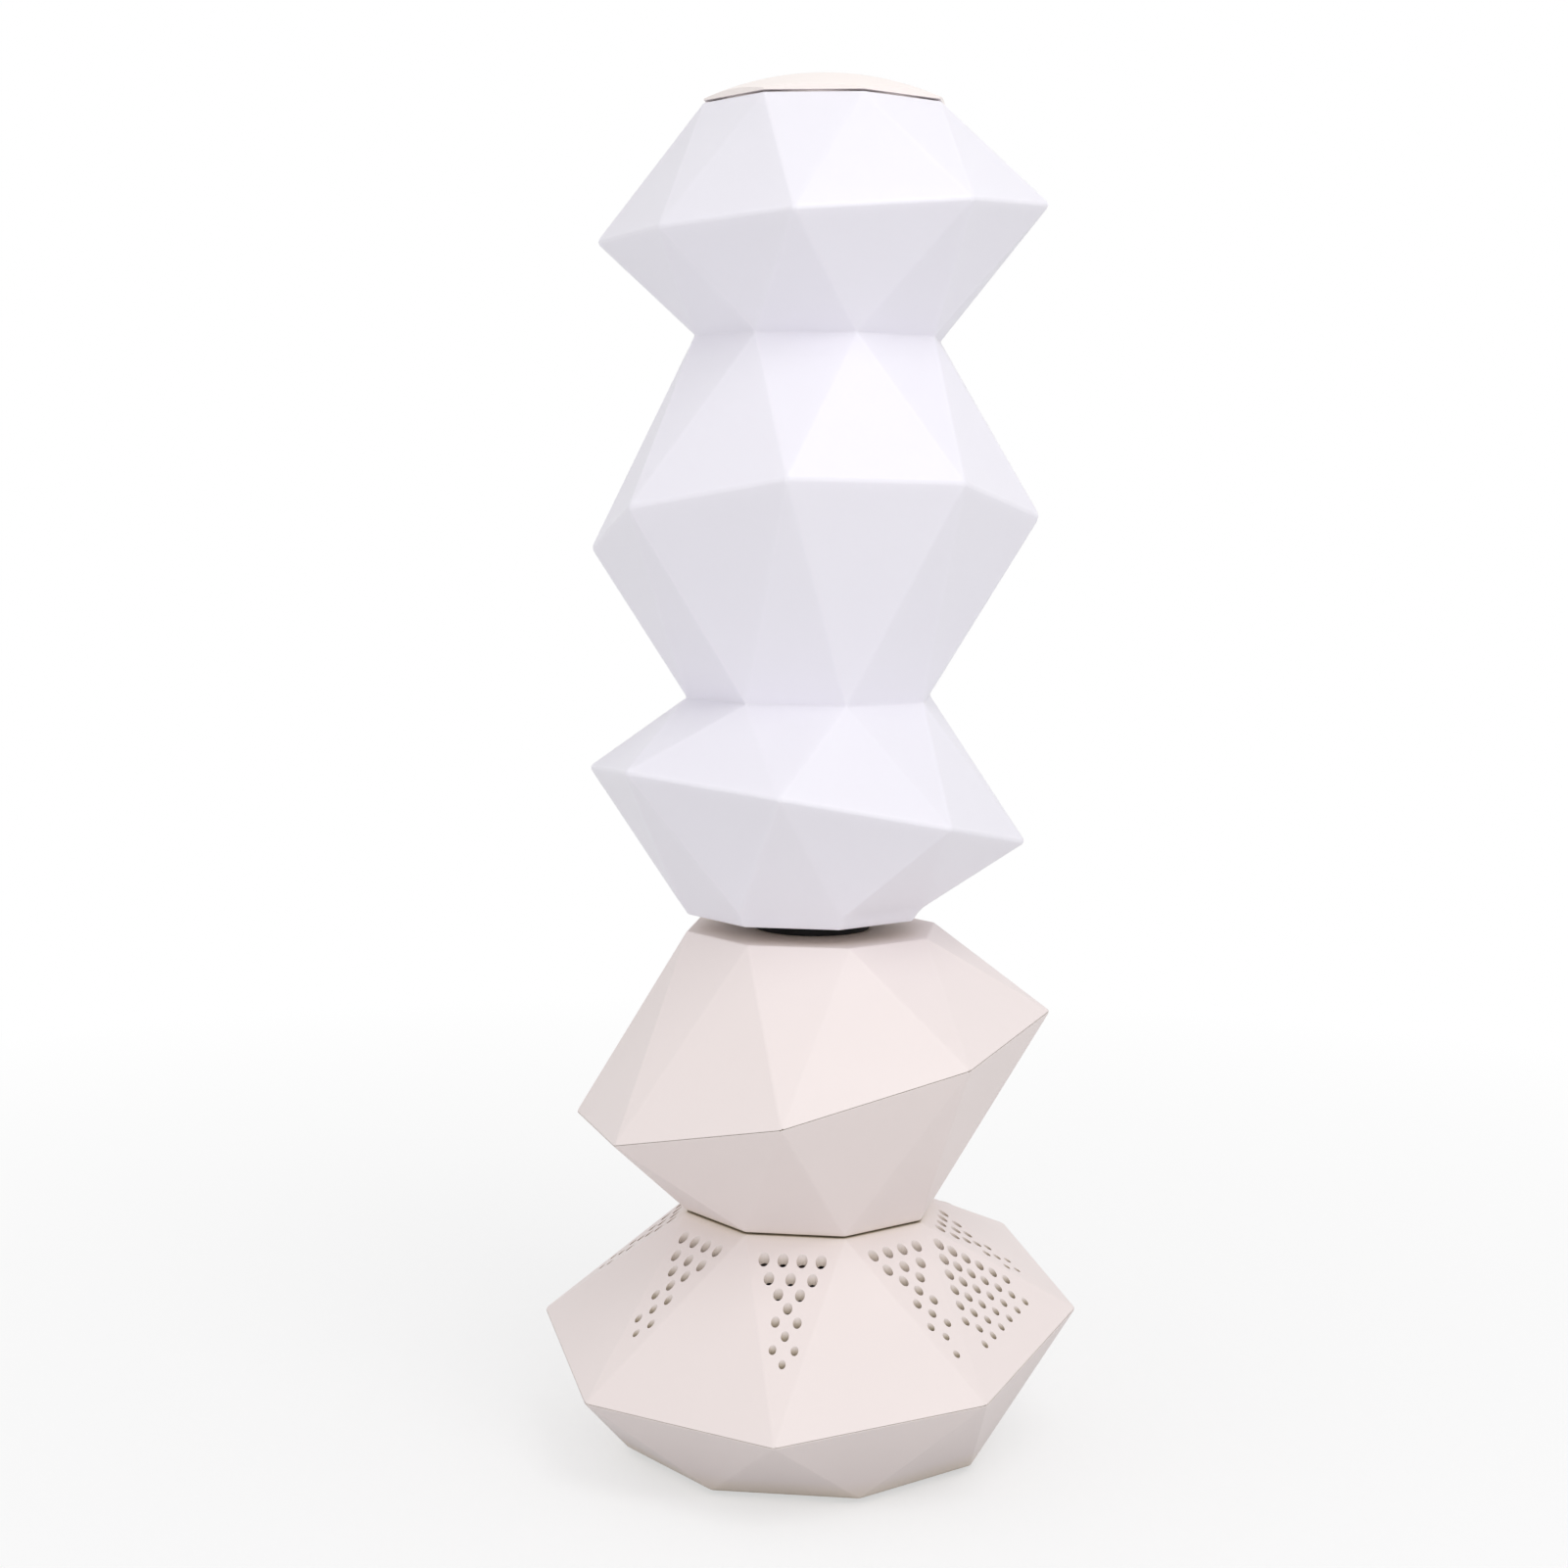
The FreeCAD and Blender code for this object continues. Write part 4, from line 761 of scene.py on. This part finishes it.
def darken_tongue():
    """The charging socket's tongue is black inside its bright shell."""
    socket = bpy.data.objects["charging_socket_soft"].data
    socket.materials.append(MATERIALS["component_black"])
    mouth = crown("charging_socket")
    for face in socket.polygons:
        if abs((face.center - mouth).dot(UPWARD)) < TONGUE_BAND and face.normal.dot(OUTWARD) > TONGUE_BACK:
            face.material_index = 1


dress()
darken_tongue()


# Studio: a pale floor that fades to white, with painted shade near the object in the light it bounces, a
# world a little dimmer overhead, a lamp above and one in front
def rays_seen(tree, links):
    """1 for rays that look at the background, straight or through a reflection or glass."""
    path = tree.new("ShaderNodeLightPath")
    level = path.outputs["Is Camera Ray"]
    for kind in ("Is Glossy Ray", "Is Transmission Ray"):
        either = tree.new("ShaderNodeMath")
        either.operation = "MAXIMUM"
        links.new(level, either.inputs[0])
        links.new(path.outputs[kind], either.inputs[1])
        level = either.outputs[0]
    return level


def make_floor():
    bm = bmesh.new()
    bmesh.ops.create_circle(bm, cap_ends=True, segments=FLOOR_CORNERS, radius=FLOOR_RADIUS)
    floor = as_object(bm, "floor")
    material, tree, links = new_material("floor")
    shader = tree["Principled BSDF"]
    shader.inputs["Roughness"].default_value = FLOOR_ROUGHNESS
    shader.inputs["Specular IOR Level"].default_value = 0.0
    seen = rays_seen(tree, links)
    reach = tree.new("ShaderNodeVectorMath")
    reach.operation = "LENGTH"
    links.new(tree.new("ShaderNodeTexCoord").outputs["Object"], reach.inputs[0])
    # Bounced light meets the floor's painted shade near the object; seen rays meet an even pale floor
    grey = tree.new("ShaderNodeMix")
    links.new(seen, grey.inputs["Factor"])
    links.new(ranged(tree, links, reach.outputs["Value"], FLOOR_PAINTED_SHADE_SPAN, FLOOR_BOUNCE_WITH_PAINTED_SHADE), grey.inputs["A"])
    grey.inputs["B"].default_value = FLOOR_SEEN
    links.new(grey.outputs["Result"], shader.inputs["Base Color"])
    far = ranged(tree, links, reach.outputs["Value"], FLOOR_FADE, (FLOOR_WHITE, 1.0))
    share = tree.new("ShaderNodeMath")
    share.operation = "MULTIPLY"
    links.new(seen, share.inputs[0])
    links.new(far, share.inputs[1])
    mix = tree.new("ShaderNodeMixShader")
    links.new(share.outputs[0], mix.inputs["Fac"])
    links.new(shader.outputs[0], mix.inputs[1])
    links.new(tree.new("ShaderNodeEmission").outputs[0], mix.inputs[2])
    links.new(mix.outputs[0], tree["Material Output"].inputs["Surface"])
    floor.data.materials.append(material)


def make_world():
    world = bpy.data.worlds.new("studio")
    bpy.context.scene.world = world
    world.use_nodes = True
    tree = world.node_tree.nodes
    links = world.node_tree.links
    back = tree["Background"]
    back.inputs["Color"].default_value = (1, 1, 1, 1)
    height = tree.new("ShaderNodeSeparateXYZ")
    links.new(tree.new("ShaderNodeTexCoord").outputs["Generated"], height.inputs[0])
    light = ranged(tree, links, height.outputs["Z"], (0, 1), (WORLD_LEVEL, WORLD_ZENITH))
    level = tree.new("ShaderNodeMix")
    links.new(rays_seen(tree, links), level.inputs["Factor"])
    links.new(light, level.inputs["A"])
    level.inputs["B"].default_value = 1.0
    links.new(level.outputs["Result"], back.inputs["Strength"])


def make_lamp(name, place, target, size, power):
    data = bpy.data.lights.new(name, "AREA")
    data.shape = "DISK"
    data.size = size
    data.energy = power
    lamp = bpy.data.objects.new(name, data)
    bpy.context.scene.collection.objects.link(lamp)
    lamp.location = place
    lamp.rotation_euler = (Vector(target) - Vector(place)).to_track_quat("-Z", "Y").to_euler()


def make_camera():
    data = bpy.data.cameras.new("camera")
    data.sensor_width = SENSOR
    data.lens = FOCAL_PIXELS * SENSOR / IMAGE_PIXELS
    data.clip_start = CLIP_START
    camera = bpy.data.objects.new("camera", data)
    bpy.context.scene.collection.objects.link(camera)
    turn = Matrix.Rotation(-CAMERA_YAW, 4, "Z")
    lean = Matrix.Rotation(math.pi / 2 - CAMERA_PITCH, 4, "X")
    roll = Matrix.Rotation(CAMERA_ROLL, 4, "Z")
    camera.matrix_world = Matrix.Translation(CAMERA_PLACE) @ turn @ lean @ roll
    bpy.context.scene.camera = camera


make_floor()
make_world()
make_lamp("top_lamp", *TOP_LAMP)
make_lamp("front_lamp", *FRONT_LAMP)
make_camera()
bpy.context.scene.view_settings.view_transform = "Standard"
